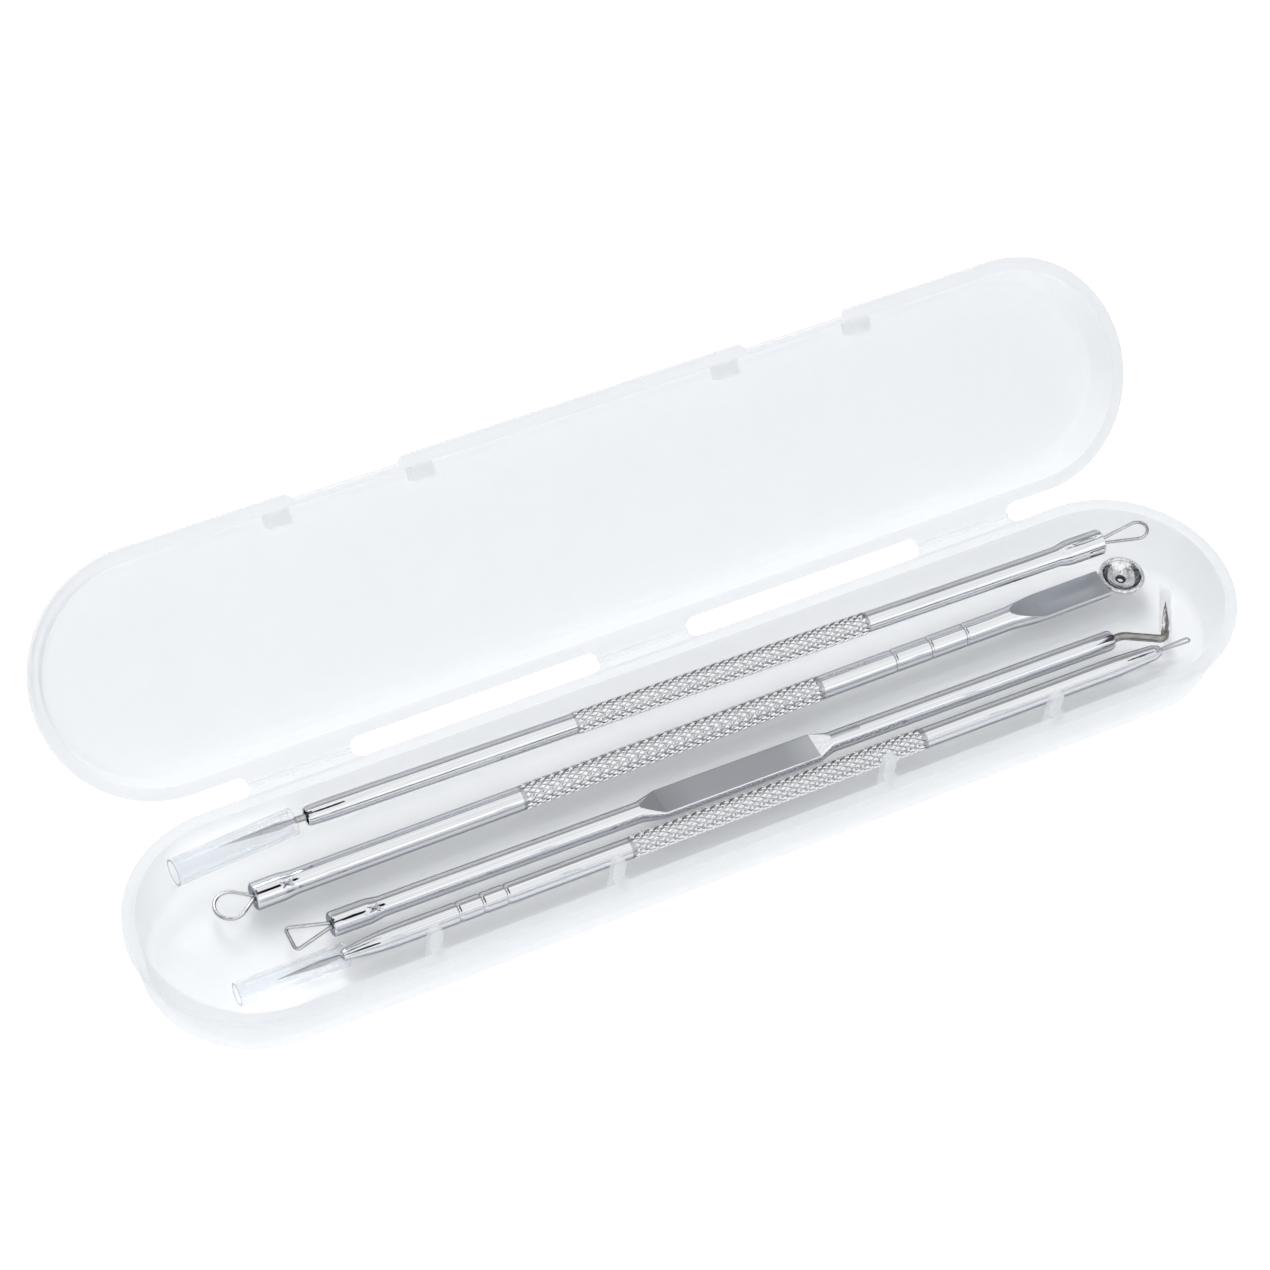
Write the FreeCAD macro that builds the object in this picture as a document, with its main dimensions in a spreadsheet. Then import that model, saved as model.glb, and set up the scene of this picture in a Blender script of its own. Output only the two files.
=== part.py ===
import FreeCAD, Part
import Sketcher
import math
import os
import re

# Four double-ended blackhead and blemish tools lying in an open hinged case.
# Millimetres and degrees. X runs along the case, Y from the near rim to the hinge, Z up.
# The origin is the centre of the tray's flat underside.

os.makedirs("parts", exist_ok=True)
doc = FreeCAD.newDocument("blackhead_tool_set")
dims = doc.addObject("Spreadsheet::Sheet", "dims")

# Case: a tray and a lid, each a rounded shell with a flange round its rim
CASE_SIZES = {
    "handle_length": 104.8,
    "case_width": 29.3,
    "base_height": 9.3,
    "flange_width": 0.6,
    "flange_thickness": 1.0,
    "case_wall": 0.9,
    "floor_thickness": 1.1,
    "base_draft": 1.2,
    "base_edge_radius": 2.0,
    "base_corner_radius": 1.2,
    "lid_depth": 6.5,
    "lid_draft": 0.9,
    "lid_edge_radius": 2.4,
    "lid_corner_radius": 1.4,
    "lid_roof_thickness": 1.0,
    "lid_rest_tilt": 45.0,
}

# Living hinge: three webs across the gap, each folding at a thin bead on the hinge line
HINGE_SIZES = {
    "hinge_gap": 2.5,
    "hinge_rise": 0.15,
    "web_thickness": 0.5,
    "bead_radius": 0.35,
    "bead_clearance": 0.08,
    "centre_web_half": 5.9,
    "side_web_half": 6.35,
}

# Latch: pegs on the tray's near rim, catch blocks in the lid, and thumb notches between them
LATCH_SIZES = {
    "peg_width": 1.6,
    "peg_thickness": 0.9,
    "peg_inset": 2.3,
    "peg_rise": 3.1,
    "peg_root": 3.5,
    "rib_sink": 0.3,
    "catch_gap": 0.3,
    "catch_width": 2.6,
    "catch_reach": 3.4,
    "catch_depth": 2.7,
    "catch_setback": 0.3,
    "notch_depth": 0.9,
    "notch_chamfer": 0.7,
    "thumb_depth": 0.3,
    "thumb_floor": 3.0,
}

# Needle tool: bored end with a straight lancet, knurled grip, flared end with a long wire loop
NEEDLE_SIZES = {
    "needle_end_clearance": 0.28,
    "needle_rim_depth": 1.9,
    "needle_yaw": -0.95,
    "needle_radius": 1.25,
    "needle_extra": 1.9,
    "needle_flare_length": 6.3,
    "needle_flare_ramp": 1.0,
    "needle_flare_radius": 1.6,
    "needle_seam_width": 0.22,
    "needle_seam_depth": 0.25,
    "needle_bore_radius": 0.85,
    "needle_bore_depth": 8.0,
    "collet_setback": 0.8,
    "collet_length": 6.0,
    "collet_clearance": 0.02,
    "lancet_shank_radius": 0.4,
    "lancet_shank_out": 1.4,
    "lancet_shank_in": 6.0,
    "lancet_reach": 10.9,
    "lancet_wide_place": 3.6,
    "lancet_wide_half": 0.52,
    "lancet_half_thickness": 0.2,
    "lancet_tip_half": 0.03,
    "cover_outer_radius": 1.7,
    "cover_inner_radius": 1.4,
    "cover_start": 1.6,
    "cover_length": 15.2,
    "cover_yaw": 5.0,
}

# Long wire loop on the needle tool
LONG_LOOP_SIZES = {
    "long_wire_radius": 0.2,
    "long_loop_reach": 6.3,
    "long_loop_radius": 1.45,
    "long_loop_lift": 14.0,
    "long_loop_turn": 12.0,
}

# Spoon tool: pinched end with a round wire loop, knurled grip, three rings, flat neck and cup
SPOON_SIZES = {
    "spoon_shift": 4.0,
    "spoon_radius": 1.45,
    "spoon_extra": 12.8,
    "spoon_ferrule_radius": 1.65,
    "spoon_ferrule_length": 4.0,
    "spoon_ring_start": 10.2,
    "spoon_ring_pitch": 5.0,
    "spoon_neck_length": 19.2,
    "spoon_ramp": 5.0,
    "spoon_neck_half_width": 1.9,
    "spoon_neck_half_thickness": 0.45,
    "cup_radius": 2.9,
    "cup_depth": 1.35,
    "cup_wall": 0.4,
    "cup_rim_radius": 0.3,
    "cup_hole_radius": 0.4,
    "round_wire_radius": 0.23,
    "round_loop_reach": 4.9,
    "round_loop_radius": 1.85,
}

# Flat grip tool: pinched end with a triangular wire loop, pressed flat grip, bent lancet
GRIP_SIZES = {
    "grip_shift": 4.1,
    "grip_yaw": -0.52,
    "grip_radius": 1.25,
    "grip_ferrule_radius": 1.5,
    "grip_ferrule_length": 5.2,
    "grip_ramp": 4.2,
    "grip_half_width": 2.0,
    "grip_half_thickness": 0.6,
    "grip_bore_radius": 0.85,
    "grip_bore_depth": 6.0,
    "grip_end_chamfer": 0.35,
    "triangle_wire_radius": 0.23,
    "triangle_reach": 5.2,
    "triangle_half_width": 1.9,
    "triangle_bend_radius": 0.45,
    "bent_wire_radius": 0.5,
    "bent_wire_in": 4.5,
    "bent_wire_run": 1.5,
    "bent_wire_out": 6.2,
    "bent_wire_drop": 2.55,
    "bent_wire_curve": 2.2,
    "bent_tip_curve": 0.75,
    "bent_tip_angle": 57.5,
    "bent_neck": 1.3,
    "bent_reach": 6.0,
    "bent_wide_half": 0.5,
    "bent_half_thickness": 0.2,
    "sleeve_outer_radius": 0.8,
    "sleeve_inner_radius": 0.62,
    "sleeve_length": 7.3,
}

# Slim tool: tapered end with a fine lancet, three rings, knurled grip, tapered end with an eye
SLIM_SIZES = {
    "slim_shift": 6.2,
    "slim_yaw": -0.26,
    "slim_radius": 1.25,
    "slim_extra": 5.2,
    "slim_nose_length": 6.0,
    "slim_nose_radius": 0.55,
    "slim_ring_start": 14.4,
    "slim_ring_pitch": 3.05,
    "slim_tail_length": 6.0,
    "slim_tail_radius": 0.95,
    "slim_point_length": 1.0,
    "slim_point_radius": 0.5,
    "slim_bore_depth": 4.0,
    "slim_shank_radius": 0.28,
    "slim_lancet_reach": 7.9,
    "slim_lancet_wide_place": 2.6,
    "slim_lancet_wide_half": 0.45,
    "slim_lancet_half_thickness": 0.16,
    "slim_cover_outer_radius": 1.45,
    "slim_cover_inner_radius": 1.15,
    "slim_cover_lap": 0.5,
    "slim_cover_length": 13.4,
    "eye_wire_radius": 0.13,
    "eye_reach": 4.4,
    "eye_radius": 0.3,
}

# Shared by all the tools
TOOL_SIZES = {
    "rest_gap": 0.15,
    "knurl_rise": 0.06,
    "ring_tube_radius": 0.25,
    "ring_depth": 0.13,
    "pinch_radius": 0.55,
    "pinch_depth": 0.3,
    "socket_depth": 2.4,
    "socket_clearance": 0.05,
    "leg_gap": 0.05,
    "leg_in": 2.0,
    "leg_bend_radius": 0.5,
    "cut_overrun": 1.0,
}

GROUPS = (CASE_SIZES, HINGE_SIZES, LATCH_SIZES, NEEDLE_SIZES, LONG_LOOP_SIZES,
          SPOON_SIZES, GRIP_SIZES, SLIM_SIZES, TOOL_SIZES)
SIZES = {name: value for group in GROUPS for name, value in group.items()}

# Places of the webs, pegs and notches from the middle, as shares of the case's straight part
SIDE_WEB_SHARE = 0.388
INNER_PEG_SHARE = 0.155
OUTER_PEG_SHARE = 0.355
NOTCH_SHARES = (0.2, 0.3156)

# Rows of the tools across the case, as shares of its width
NEEDLE_ROW_SHARE = 0.365
SPOON_ROW_SHARE = 0.198
GRIP_ROW_SHARE = -0.039
SLIM_ROW_SHARE = -0.1845

# Places along each handle, as shares of its length
NEEDLE_KNURL_SHARES = (0.319, 0.689)
SPOON_KNURL_SHARES = (0.288, 0.632)
SLIM_KNURL_SHARES = (0.331, 0.693)
GRIP_FLAT_SHARES = (0.362, 0.640)

for row, (name, value) in enumerate(SIZES.items(), start=1):
    dims.set("A%d" % row, name)
    dims.set("B%d" % row, str(value))
    dims.setAlias("B%d" % row, name)
doc.recompute()

NAME_PATTERN = re.compile(r"\b(" + "|".join(sorted(SIZES, key=len, reverse=True)) + r")\b")
X_AXIS = FreeCAD.Vector(1, 0, 0)
Y_AXIS = FreeCAD.Vector(0, 1, 0)
Z_AXIS = FreeCAD.Vector(0, 0, 1)
ORIGIN = FreeCAD.Vector(0, 0, 0)
ALONG_X = FreeCAD.Rotation(Y_AXIS, 90)
ALONG_Y = FreeCAD.Rotation(X_AXIS, -90)
NODES = []


def size(name):
    """The value of one cell of the sheet."""
    return float(dims.get(name))


def bind(thing, path, formula):
    """Tie a property to the sheet: a formula is written with the bare names of its cells."""
    thing.setExpression(path, NAME_PATTERN.sub(r"dims.\1", formula))


# Derived places that several pieces share
layout = doc.addObject("App::FeaturePython", "layout")
AXIS_Y = "(case_width / 2 + hinge_gap / 2)"
AXIS_Z = "(base_height + hinge_rise)"
LID_CENTRE = "(case_width / 2 + hinge_gap / 2)"
STRAIGHT = "(2 * layout.half_straight)"


def derive(name, formula):
    """A named place that follows the sheet."""
    layout.addProperty("App::PropertyFloat", name)
    bind(layout, name, formula)
    doc.recompute()


def fit_case_to_needle_tool():
    """The needle tool lies along the back wall and reaches from one rounded end to the other.

    Its covered end and its loop each stay a clearance inside the end walls, which sets the
    length of the case's straight part."""
    derive("needle_row", "%s * case_width" % NEEDLE_ROW_SHARE)
    derive("end_radius", "case_width / 2 - flange_width - case_wall"
           " - base_draft * needle_rim_depth / base_height - needle_end_clearance")
    derive("loop_turn", "long_loop_turn - needle_yaw")
    derive("cover_turn", "cover_yaw + needle_yaw")
    derive("loop_out", "long_loop_reach - long_loop_radius")
    derive("loop_row", "layout.needle_row + (handle_length + needle_extra) * sin(needle_yaw)"
           " - layout.loop_out * sin(layout.loop_turn)")
    derive("cover_row", "layout.needle_row - cover_start * sin(needle_yaw)"
           " - cover_length * sin(layout.cover_turn)")
    derive("right_room", "sqrt((layout.end_radius - long_loop_radius)^2 - layout.loop_row^2)")
    derive("left_room", "sqrt(layout.end_radius^2 - (layout.cover_row + cover_outer_radius)^2)")
    derive("cover_out", "cover_start * cos(needle_yaw) + cover_length * cos(layout.cover_turn)")
    derive("needle_span", "layout.cover_out + (handle_length + needle_extra) * cos(needle_yaw)"
           " + layout.loop_out * cos(layout.loop_turn)")
    derive("half_straight", "(layout.needle_span - layout.left_room - layout.right_room) / 2")
    derive("needle_left", "layout.cover_out - layout.half_straight - layout.left_room")


fit_case_to_needle_tool()


def label(thing, name):
    """Name a piece of its own and list it for the output."""
    thing.Label = name
    NODES.append(thing)
    return thing


# Plain solids bound to the sheet

def rod(name, start, length, radius, end_radius=None):
    """A cylinder, or a cone where end_radius is given, along the tool's own X axis."""
    kind = "Part::Cone" if end_radius else "Part::Cylinder"
    thing = doc.addObject(kind, name)
    thing.Placement = FreeCAD.Placement(ORIGIN, ALONG_X)
    bind(thing, "Placement.Base.x", start)
    bind(thing, "Height", length)
    if end_radius:
        bind(thing, "Radius1", radius)
        bind(thing, "Radius2", end_radius)
    else:
        bind(thing, "Radius", radius)
    return thing


def block(name, low, spans):
    """A box from its low corner and its three spans."""
    thing = doc.addObject("Part::Box", name)
    for path, formula in zip(("Placement.Base.x", "Placement.Base.y", "Placement.Base.z"), low):
        bind(thing, path, formula)
    for path, formula in zip(("Length", "Width", "Height"), spans):
        bind(thing, path, formula)
    return thing


def ring_cut(name, place, shaft_radius):
    """The torus that rolls one shallow ring into a shaft."""
    thing = doc.addObject("Part::Torus", name)
    thing.Placement = FreeCAD.Placement(ORIGIN, ALONG_X)
    bind(thing, "Placement.Base.x", place)
    bind(thing, "Radius1", shaft_radius + " - ring_depth + ring_tube_radius")
    bind(thing, "Radius2", "ring_tube_radius")
    return thing


def ball(name, place, radius):
    """A sphere at a place."""
    thing = doc.addObject("Part::Sphere", name)
    for path, formula in zip(("Placement.Base.x", "Placement.Base.y", "Placement.Base.z"), place):
        bind(thing, path, formula)
    bind(thing, "Radius", radius)
    return thing


def fuse(name, pieces):
    """Several solids joined into one."""
    thing = doc.addObject("Part::MultiFuse", name)
    thing.Shapes = pieces
    return thing


def cut(name, base, tools):
    """A solid with other solids taken away from it."""
    tool = tools[0] if len(tools) == 1 else fuse(name + "_tools", tools)
    thing = doc.addObject("Part::Cut", name)
    thing.Base = base
    thing.Tool = tool
    return thing


def feature(name, shape):
    """A solid whose shape is worked out here from the sheet's values."""
    thing = doc.addObject("Part::Feature", name)
    thing.Shape = shape
    return thing


# Shapes worked out from sizes

def moved(solid, turns, place):
    """A copy of a solid, turned about the origin by each (axis, angle) and then set at a place."""
    placement = FreeCAD.Placement(place, FreeCAD.Rotation())
    for axis, angle in reversed(turns):
        placement = placement.multiply(FreeCAD.Placement(ORIGIN, FreeCAD.Rotation(axis, angle)))
    return solid.transformed(placement.toMatrix(), True)


def prism(points, normal, low, high):
    """A flat outline, given as points in its plane, pushed from low to high along its normal."""
    wire = Part.makePolygon([p + normal * low for p in points] + [points[0] + normal * low])
    return Part.Face(wire).extrude(normal * (high - low))


def rounded_path(points, radii):
    """A wire through points, its corners turned by arcs of the given radii."""
    edges = []
    begin = points[0]
    for before, corner, after, radius in zip(points, points[1:], points[2:], radii):
        to_before = (before - corner).normalize()
        to_after = (after - corner).normalize()
        half = to_before.getAngle(to_after) / 2
        reach = radius / math.tan(half)
        middle = (to_before + to_after).normalize()
        centre = corner + middle * (radius / math.sin(half))
        first = corner + to_before * reach
        last = corner + to_after * reach
        if begin.distanceToPoint(first) > Part.Precision.confusion() * 10:
            edges.append(Part.LineSegment(begin, first).toShape())
        edges.append(Part.Arc(first, centre - middle * radius, last).toShape())
        begin = last
    edges.append(Part.LineSegment(begin, points[-1]).toShape())
    return Part.Wire(edges)


def swept_wire(path, radius):
    """A round wire of the given radius along a path."""
    start = path.Edges[0].Vertexes[0].Point
    direction = path.Edges[0].tangentAt(path.Edges[0].FirstParameter)
    ring = Part.Wire(Part.makeCircle(radius, start, direction))
    return path.makePipeShell([ring], True, True)


def teardrop(reach, radius, wire_radius, turns=()):
    """Path of a wire loop: two legs leave the socket side by side and open into a round end.

    The legs lie along X and the loop opens towards -X from the shaft's end at X = 0. The part
    outside the socket may be turned about that end."""
    leg = wire_radius + size("leg_gap") / 2
    round_radius = radius - wire_radius
    far = -(reach - wire_radius)
    centre_x = far + round_radius
    slope = math.asin(round_radius / math.hypot(leg, centre_x)) + math.atan2(leg, centre_x) - math.pi
    corner_y = leg - far * math.tan(slope)
    upper = [FreeCAD.Vector(size("leg_in"), leg, 0), FreeCAD.Vector(0, leg, 0)]
    lower = [FreeCAD.Vector(p.x, -p.y, 0) for p in reversed(upper)]
    corners = [FreeCAD.Vector(far, corner_y, 0), FreeCAD.Vector(far, -corner_y, 0)]
    turning = FreeCAD.Rotation()
    for axis, angle in reversed(turns):
        turning = turning.multiply(FreeCAD.Rotation(axis, angle))
    corners = [turning.multVec(p) for p in corners]
    across = corners[1] - corners[0]
    rounds = [across.Length / 2 * math.tan(way.getAngle(side) / 2) for way, side in
              ((upper[1] - corners[0], across), (lower[0] - corners[1], -across))]
    bend = size("leg_bend_radius")
    return rounded_path(upper + corners + lower, [bend] + rounds + [bend])


def spear(sections):
    """A flat lancet blade: straight-sided lofts through diamond sections (x, half width, half thickness)."""
    wires = []
    for x, wide, thick in sections:
        corners = [FreeCAD.Vector(x, wide, 0), FreeCAD.Vector(x, 0, thick),
                   FreeCAD.Vector(x, -wide, 0), FreeCAD.Vector(x, 0, -thick)]
        wires.append(Part.makePolygon(corners + corners[:1]))
    return Part.makeLoft(wires, True, True)


def flattened(start, end, ramp, radius, half_width, half_thickness, open_end):
    """A length of round shaft pressed flat, with a ramp back to the round at one or both ends."""
    reach = half_width + half_thickness
    stations = [(start, radius, radius, radius), (start + ramp, half_width, half_thickness, reach)]
    if open_end:
        stations.append((end, half_width, half_thickness, reach))
    else:
        stations.append((end - ramp, half_width, half_thickness, reach))
        stations.append((end, radius, radius, radius))
    plan = [FreeCAD.Vector(x, y, 0) for x, y, _, _ in stations]
    plan += [FreeCAD.Vector(p.x, -p.y, 0) for p in reversed(plan)]
    side = [FreeCAD.Vector(x, 0, z) for x, _, z, _ in stations]
    side += [FreeCAD.Vector(p.x, 0, -p.z) for p in reversed(side)]
    turned = [FreeCAD.Vector(start, 0, 0)] + [FreeCAD.Vector(x, r, 0) for x, _, _, r in stations]
    turned.append(FreeCAD.Vector(end, 0, 0))
    round_body = Part.Face(Part.makePolygon(turned + turned[:1])).revolve(ORIGIN, X_AXIS, 360)
    flat = prism(plan, Z_AXIS, -reach, reach).common(prism(side, Y_AXIS, -reach, reach))
    return flat.common(round_body)


def mirrored_x(x):
    """A place on the right and the same place on the left."""
    return ((1, x), (-1, "-(" + x + ")"))


# Case shells: one drafted section, run along the straight part and turned round both ends

def plane_of(body, role):
    """One of a body's own origin planes."""
    return next(f for f in body.Origin.OriginFeatures if f.Role == role)


def section(body, name, place, points, centre):
    """Half of a shell's section, each corner located by formulas from the section's own axis."""
    sketch = body.newObject("Sketcher::SketchObject", name)
    sketch.AttachmentSupport = (plane_of(body, "YZ_Plane"), [""])
    sketch.MapMode = "FlatFace"
    bind(sketch, "AttachmentOffset.Base.z", place)
    bind(sketch, "AttachmentOffset.Base.x", centre)
    count = len(points)
    rough = [FreeCAD.Rotation(Z_AXIS, 360 * n / count).multVec(X_AXIS * size("base_height"))
             for n in range(count)]
    for n in range(count):
        sketch.addGeometry(Part.LineSegment(rough[n], rough[(n + 1) % count]), False)
    for n in range(count):
        sketch.addConstraint(Sketcher.Constraint("Coincident", n, 2, (n + 1) % count, 1))
    for n, (across, up) in enumerate(points):
        for kind, axis, formula in (("DistanceX", -2, across), ("DistanceY", -1, up)):
            if formula == "0":
                sketch.addConstraint(Sketcher.Constraint("PointOnObject", n, 1, axis))
                continue
            number = sketch.addConstraint(
                Sketcher.Constraint(kind, -1, 1, n, 1, size("base_height")))
            bind(sketch, "Constraints[%d]" % number, formula)
    doc.recompute()
    return sketch


def turned_end(body, name, profile, left):
    """One round end of a shell."""
    thing = body.newObject("PartDesign::Revolution", name)
    thing.Profile = profile
    thing.ReferenceAxis = (profile, ["V_Axis"])
    thing.Angle = 180
    thing.Reversed = not left
    thing.Refine = True
    doc.recompute()
    return thing


def round_level(body, name, base, height, radius):
    """Round the outline edges that lie at one height."""
    level = Part.Precision.confusion() * 100
    names = ["Edge%d" % number for number, edge in enumerate(base.Shape.Edges, start=1)
             if all(abs(v.Z - height) < level for v in edge.Vertexes)]
    thing = body.newObject("PartDesign::Fillet", name)
    thing.Base = (base, names)
    bind(thing, "Radius", radius)
    doc.recompute()
    return thing


def shell(name, points, centre):
    """A rounded shell from its half section: the straight part, its mirror image and two ends."""
    body = doc.addObject("PartDesign::Body", name)
    half = "layout.half_straight"
    middle = section(body, name + "_section", "0", points, centre)
    straight = body.newObject("PartDesign::Pad", name + "_straight")
    straight.Profile = middle
    straight.Midplane = True
    bind(straight, "Length", STRAIGHT)
    doc.recompute()
    mirror = body.newObject("PartDesign::Mirrored", name + "_near_half")
    mirror.Originals = [straight]
    mirror.MirrorPlane = (middle, ["V_Axis"])
    body.Tip = mirror
    doc.recompute()
    right = section(body, name + "_right_section", half, points, centre)
    turned_end(body, name + "_right_end", right, False)
    left = section(body, name + "_left_section", "-" + half, points, centre)
    return body, turned_end(body, name + "_left_end", left, True)


def tray_shell():
    """The tray: drafted walls, a rounded foot and a flange round the rim."""
    wide = "case_width / 2 - flange_width"
    points = [("0", "0"), (wide + " - base_draft", "0"),
              (wide + " - base_draft * flange_thickness / base_height",
               "base_height - flange_thickness"),
              ("case_width / 2", "base_height - flange_thickness"), ("case_width / 2", "base_height"),
              (wide + " - case_wall", "base_height"),
              (wide + " - case_wall - base_draft * (1 - floor_thickness / base_height)",
               "floor_thickness"),
              ("0", "floor_thickness")]
    body, whole = shell("tray_shell", points, "0")
    foot = round_level(body, "tray_foot_round", whole, 0, "base_edge_radius")
    round_level(body, "tray_floor_round", foot, size("floor_thickness"), "base_corner_radius")
    return body


def lid_body():
    """The lid in its own frame: hinge line at the origin, the open side up, rim just below it."""
    wide = "case_width / 2 - flange_width"
    roof = "-hinge_rise - lid_depth"
    under = "-hinge_rise - flange_thickness"
    points = [("0", roof), (wide + " - lid_draft", roof),
              (wide + " - lid_draft * flange_thickness / lid_depth", under),
              ("case_width / 2", under), ("case_width / 2", "-hinge_rise"),
              (wide + " - case_wall", "-hinge_rise"),
              (wide + " - case_wall - lid_draft * (1 - lid_roof_thickness / lid_depth)",
               roof + " + lid_roof_thickness"),
              ("0", roof + " + lid_roof_thickness")]
    body, whole = shell("lid_body", points, LID_CENTRE)
    outside = -size("hinge_rise") - size("lid_depth")
    edge = round_level(body, "lid_edge_round", whole, outside, "lid_edge_radius")
    round_level(body, "lid_floor_round", edge, outside + size("lid_roof_thickness"),
                "lid_corner_radius")
    return body


PEG_PLACES = (("inner", INNER_PEG_SHARE), ("outer", OUTER_PEG_SHARE))


def pegs():
    """Four upright pegs on the near rim, each with a rib that ties it to the wall."""
    pieces = []
    foot = "base_height - peg_root"
    for name, share in PEG_PLACES:
        for side, x in mirrored_x("%s * %s" % (STRAIGHT, share)):
            tag = "peg_%s_%s" % (name, "right" if side > 0 else "left")
            near = "-case_width / 2 + peg_inset"
            low_x = x + " - peg_width / 2"
            stem_height = "peg_root + peg_rise - peg_width / 2"
            pieces.append(block(tag, (low_x, near, foot), ("peg_width", "peg_thickness", stem_height)))
            head = doc.addObject("Part::Cylinder", tag + "_head")
            head.Placement = FreeCAD.Placement(ORIGIN, ALONG_Y)
            bind(head, "Placement.Base.x", x)
            bind(head, "Placement.Base.y", near)
            bind(head, "Placement.Base.z", "base_height + peg_rise - peg_width / 2")
            bind(head, "Radius", "peg_width / 2")
            bind(head, "Height", "peg_thickness")
            pieces.append(head)
            rib_y = "-case_width / 2 + flange_width + case_wall - rib_sink"
            rib_span = "peg_inset + peg_thickness / 2 - flange_width - case_wall + rib_sink"
            pieces.append(block(tag + "_rib", (low_x, rib_y, foot), ("peg_width", rib_span, "peg_root")))
    return pieces


def thumb_cuts():
    """Two shallow thumb hollows in the tray's near wall, under the flange."""
    pieces = []
    first, last = NOTCH_SHARES
    for side, x in mirrored_x("%s * (%s + %s) / 2" % (STRAIGHT, first, last)):
        tag = "thumb_%s" % ("right" if side > 0 else "left")
        span = "%s * (%s - %s)" % (STRAIGHT, last, first)
        low = (x + " - " + span + " / 2", "-case_width / 2 - cut_overrun", "thumb_floor")
        spans = (span, "cut_overrun + flange_width + thumb_depth",
                 "base_height - flange_thickness - thumb_floor")
        pieces.append(block(tag, low, spans))
    return pieces


def catches():
    """Four catch blocks on the lid's far wall, each just inside its peg."""
    pieces = []
    wall = LID_CENTRE + " + case_width / 2"
    spans = ("catch_width", "catch_reach - flange_width - case_wall + rib_sink", "catch_depth")
    for name, share in PEG_PLACES:
        outward = name == "inner"
        for side, x in mirrored_x("%s * %s" % (STRAIGHT, share)):
            tag = "catch_%s_%s" % (name, "right" if side > 0 else "left")
            beyond = "(peg_width / 2 + catch_gap)"
            if (side > 0) == outward:
                low_x = x + " + " + beyond
            else:
                low_x = x + " - " + beyond + " - catch_width"
            low = (low_x, wall + " - catch_reach", "-hinge_rise - catch_setback - catch_depth")
            pieces.append(block(tag, low, spans))
    return pieces


def notches():
    """Two thumb notches in the lid's far flange, with small slanted ends."""
    pieces = []
    far = size("hinge_gap") / 2 + size("case_width")
    over = size("cut_overrun")
    deep = far - size("notch_depth")
    slant = size("notch_chamfer")
    low = -size("hinge_rise") - size("flange_thickness")
    high = -size("hinge_rise") + over
    for side in (1, -1):
        first, last = (side * 2 * layout.half_straight * share for share in NOTCH_SHARES)
        points = [FreeCAD.Vector(first - side * slant, far, 0), FreeCAD.Vector(first, deep, 0),
                  FreeCAD.Vector(last, deep, 0), FreeCAD.Vector(last + side * slant, far, 0),
                  FreeCAD.Vector(last + side * slant, far + over, 0),
                  FreeCAD.Vector(first - side * slant, far + over, 0)]
        tag = "notch_right" if side > 0 else "notch_left"
        pieces.append(feature(tag, prism(points, Z_AXIS, low, high)))
    return pieces


def leaf(middle, half, root, tip, low):
    """One leaf of a web: wide at the flange and drawn in by a round on each side."""
    turn = abs(tip - root)
    way = math.copysign(1, tip - root)
    mid = turn * (1 - math.sqrt(0.5))
    flange = [FreeCAD.Vector(middle + s * (half + turn), root, low) for s in (-1, 1)]
    waist = [FreeCAD.Vector(middle + s * half, root + way * turn, low) for s in (-1, 1)]
    bow = [FreeCAD.Vector(middle + s * (half + mid), root + way * mid, low) for s in (-1, 1)]
    edges = [Part.LineSegment(flange[0], flange[1]).toShape(),
             Part.Arc(flange[1], bow[1], waist[1]).toShape(),
             Part.LineSegment(waist[1], waist[0]).toShape(),
             Part.Arc(waist[0], bow[0], flange[0]).toShape()]
    return Part.Face(Part.Wire(edges)).extrude(Z_AXIS * size("web_thickness"))


def web_places():
    """Name, middle and half width of each web."""
    side = 2 * layout.half_straight * SIDE_WEB_SHARE
    return (("left", -side, size("side_web_half")), ("centre", 0.0, size("centre_web_half")),
            ("right", side, size("side_web_half")))


def bead(middle, half, radius, centre_y, centre_z):
    """A thin round rod along the hinge line."""
    start = FreeCAD.Vector(middle - half, centre_y, centre_z)
    return Part.makeCylinder(radius, 2 * half, start, X_AXIS)


def tray_webs():
    """The tray's half of each web, with the bead on which the web folds."""
    root = size("case_width") / 2
    axis_y = root + size("hinge_gap") / 2
    axis_z = size("base_height") + size("hinge_rise")
    low = size("base_height") - size("web_thickness")
    for name, middle, half in web_places():
        plate = leaf(middle, half, root, axis_y, low)
        fold = bead(middle, half, size("bead_radius"), axis_y, axis_z)
        label(feature("web_" + name, plate.fuse(fold).removeSplitter()), "hinge_web_" + name)


def lid_webs():
    """The lid's half of each web, cut back round the bead."""
    pieces = []
    root = size("hinge_gap") / 2
    low = -size("hinge_rise") - size("web_thickness")
    clear = size("bead_radius") + size("bead_clearance")
    for name, middle, half in web_places():
        plate = leaf(middle, half, root, 0.0, low)
        room = bead(middle, half + root, clear, 0.0, 0.0)
        behind = Part.makeBox(2 * (half + root), size("bead_clearance") + root, size("base_height"),
                              FreeCAD.Vector(middle - half - root, -root, low - root))
        pieces.append(feature("lid_web_" + name, plate.cut(room).cut(behind)))
    return pieces


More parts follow.
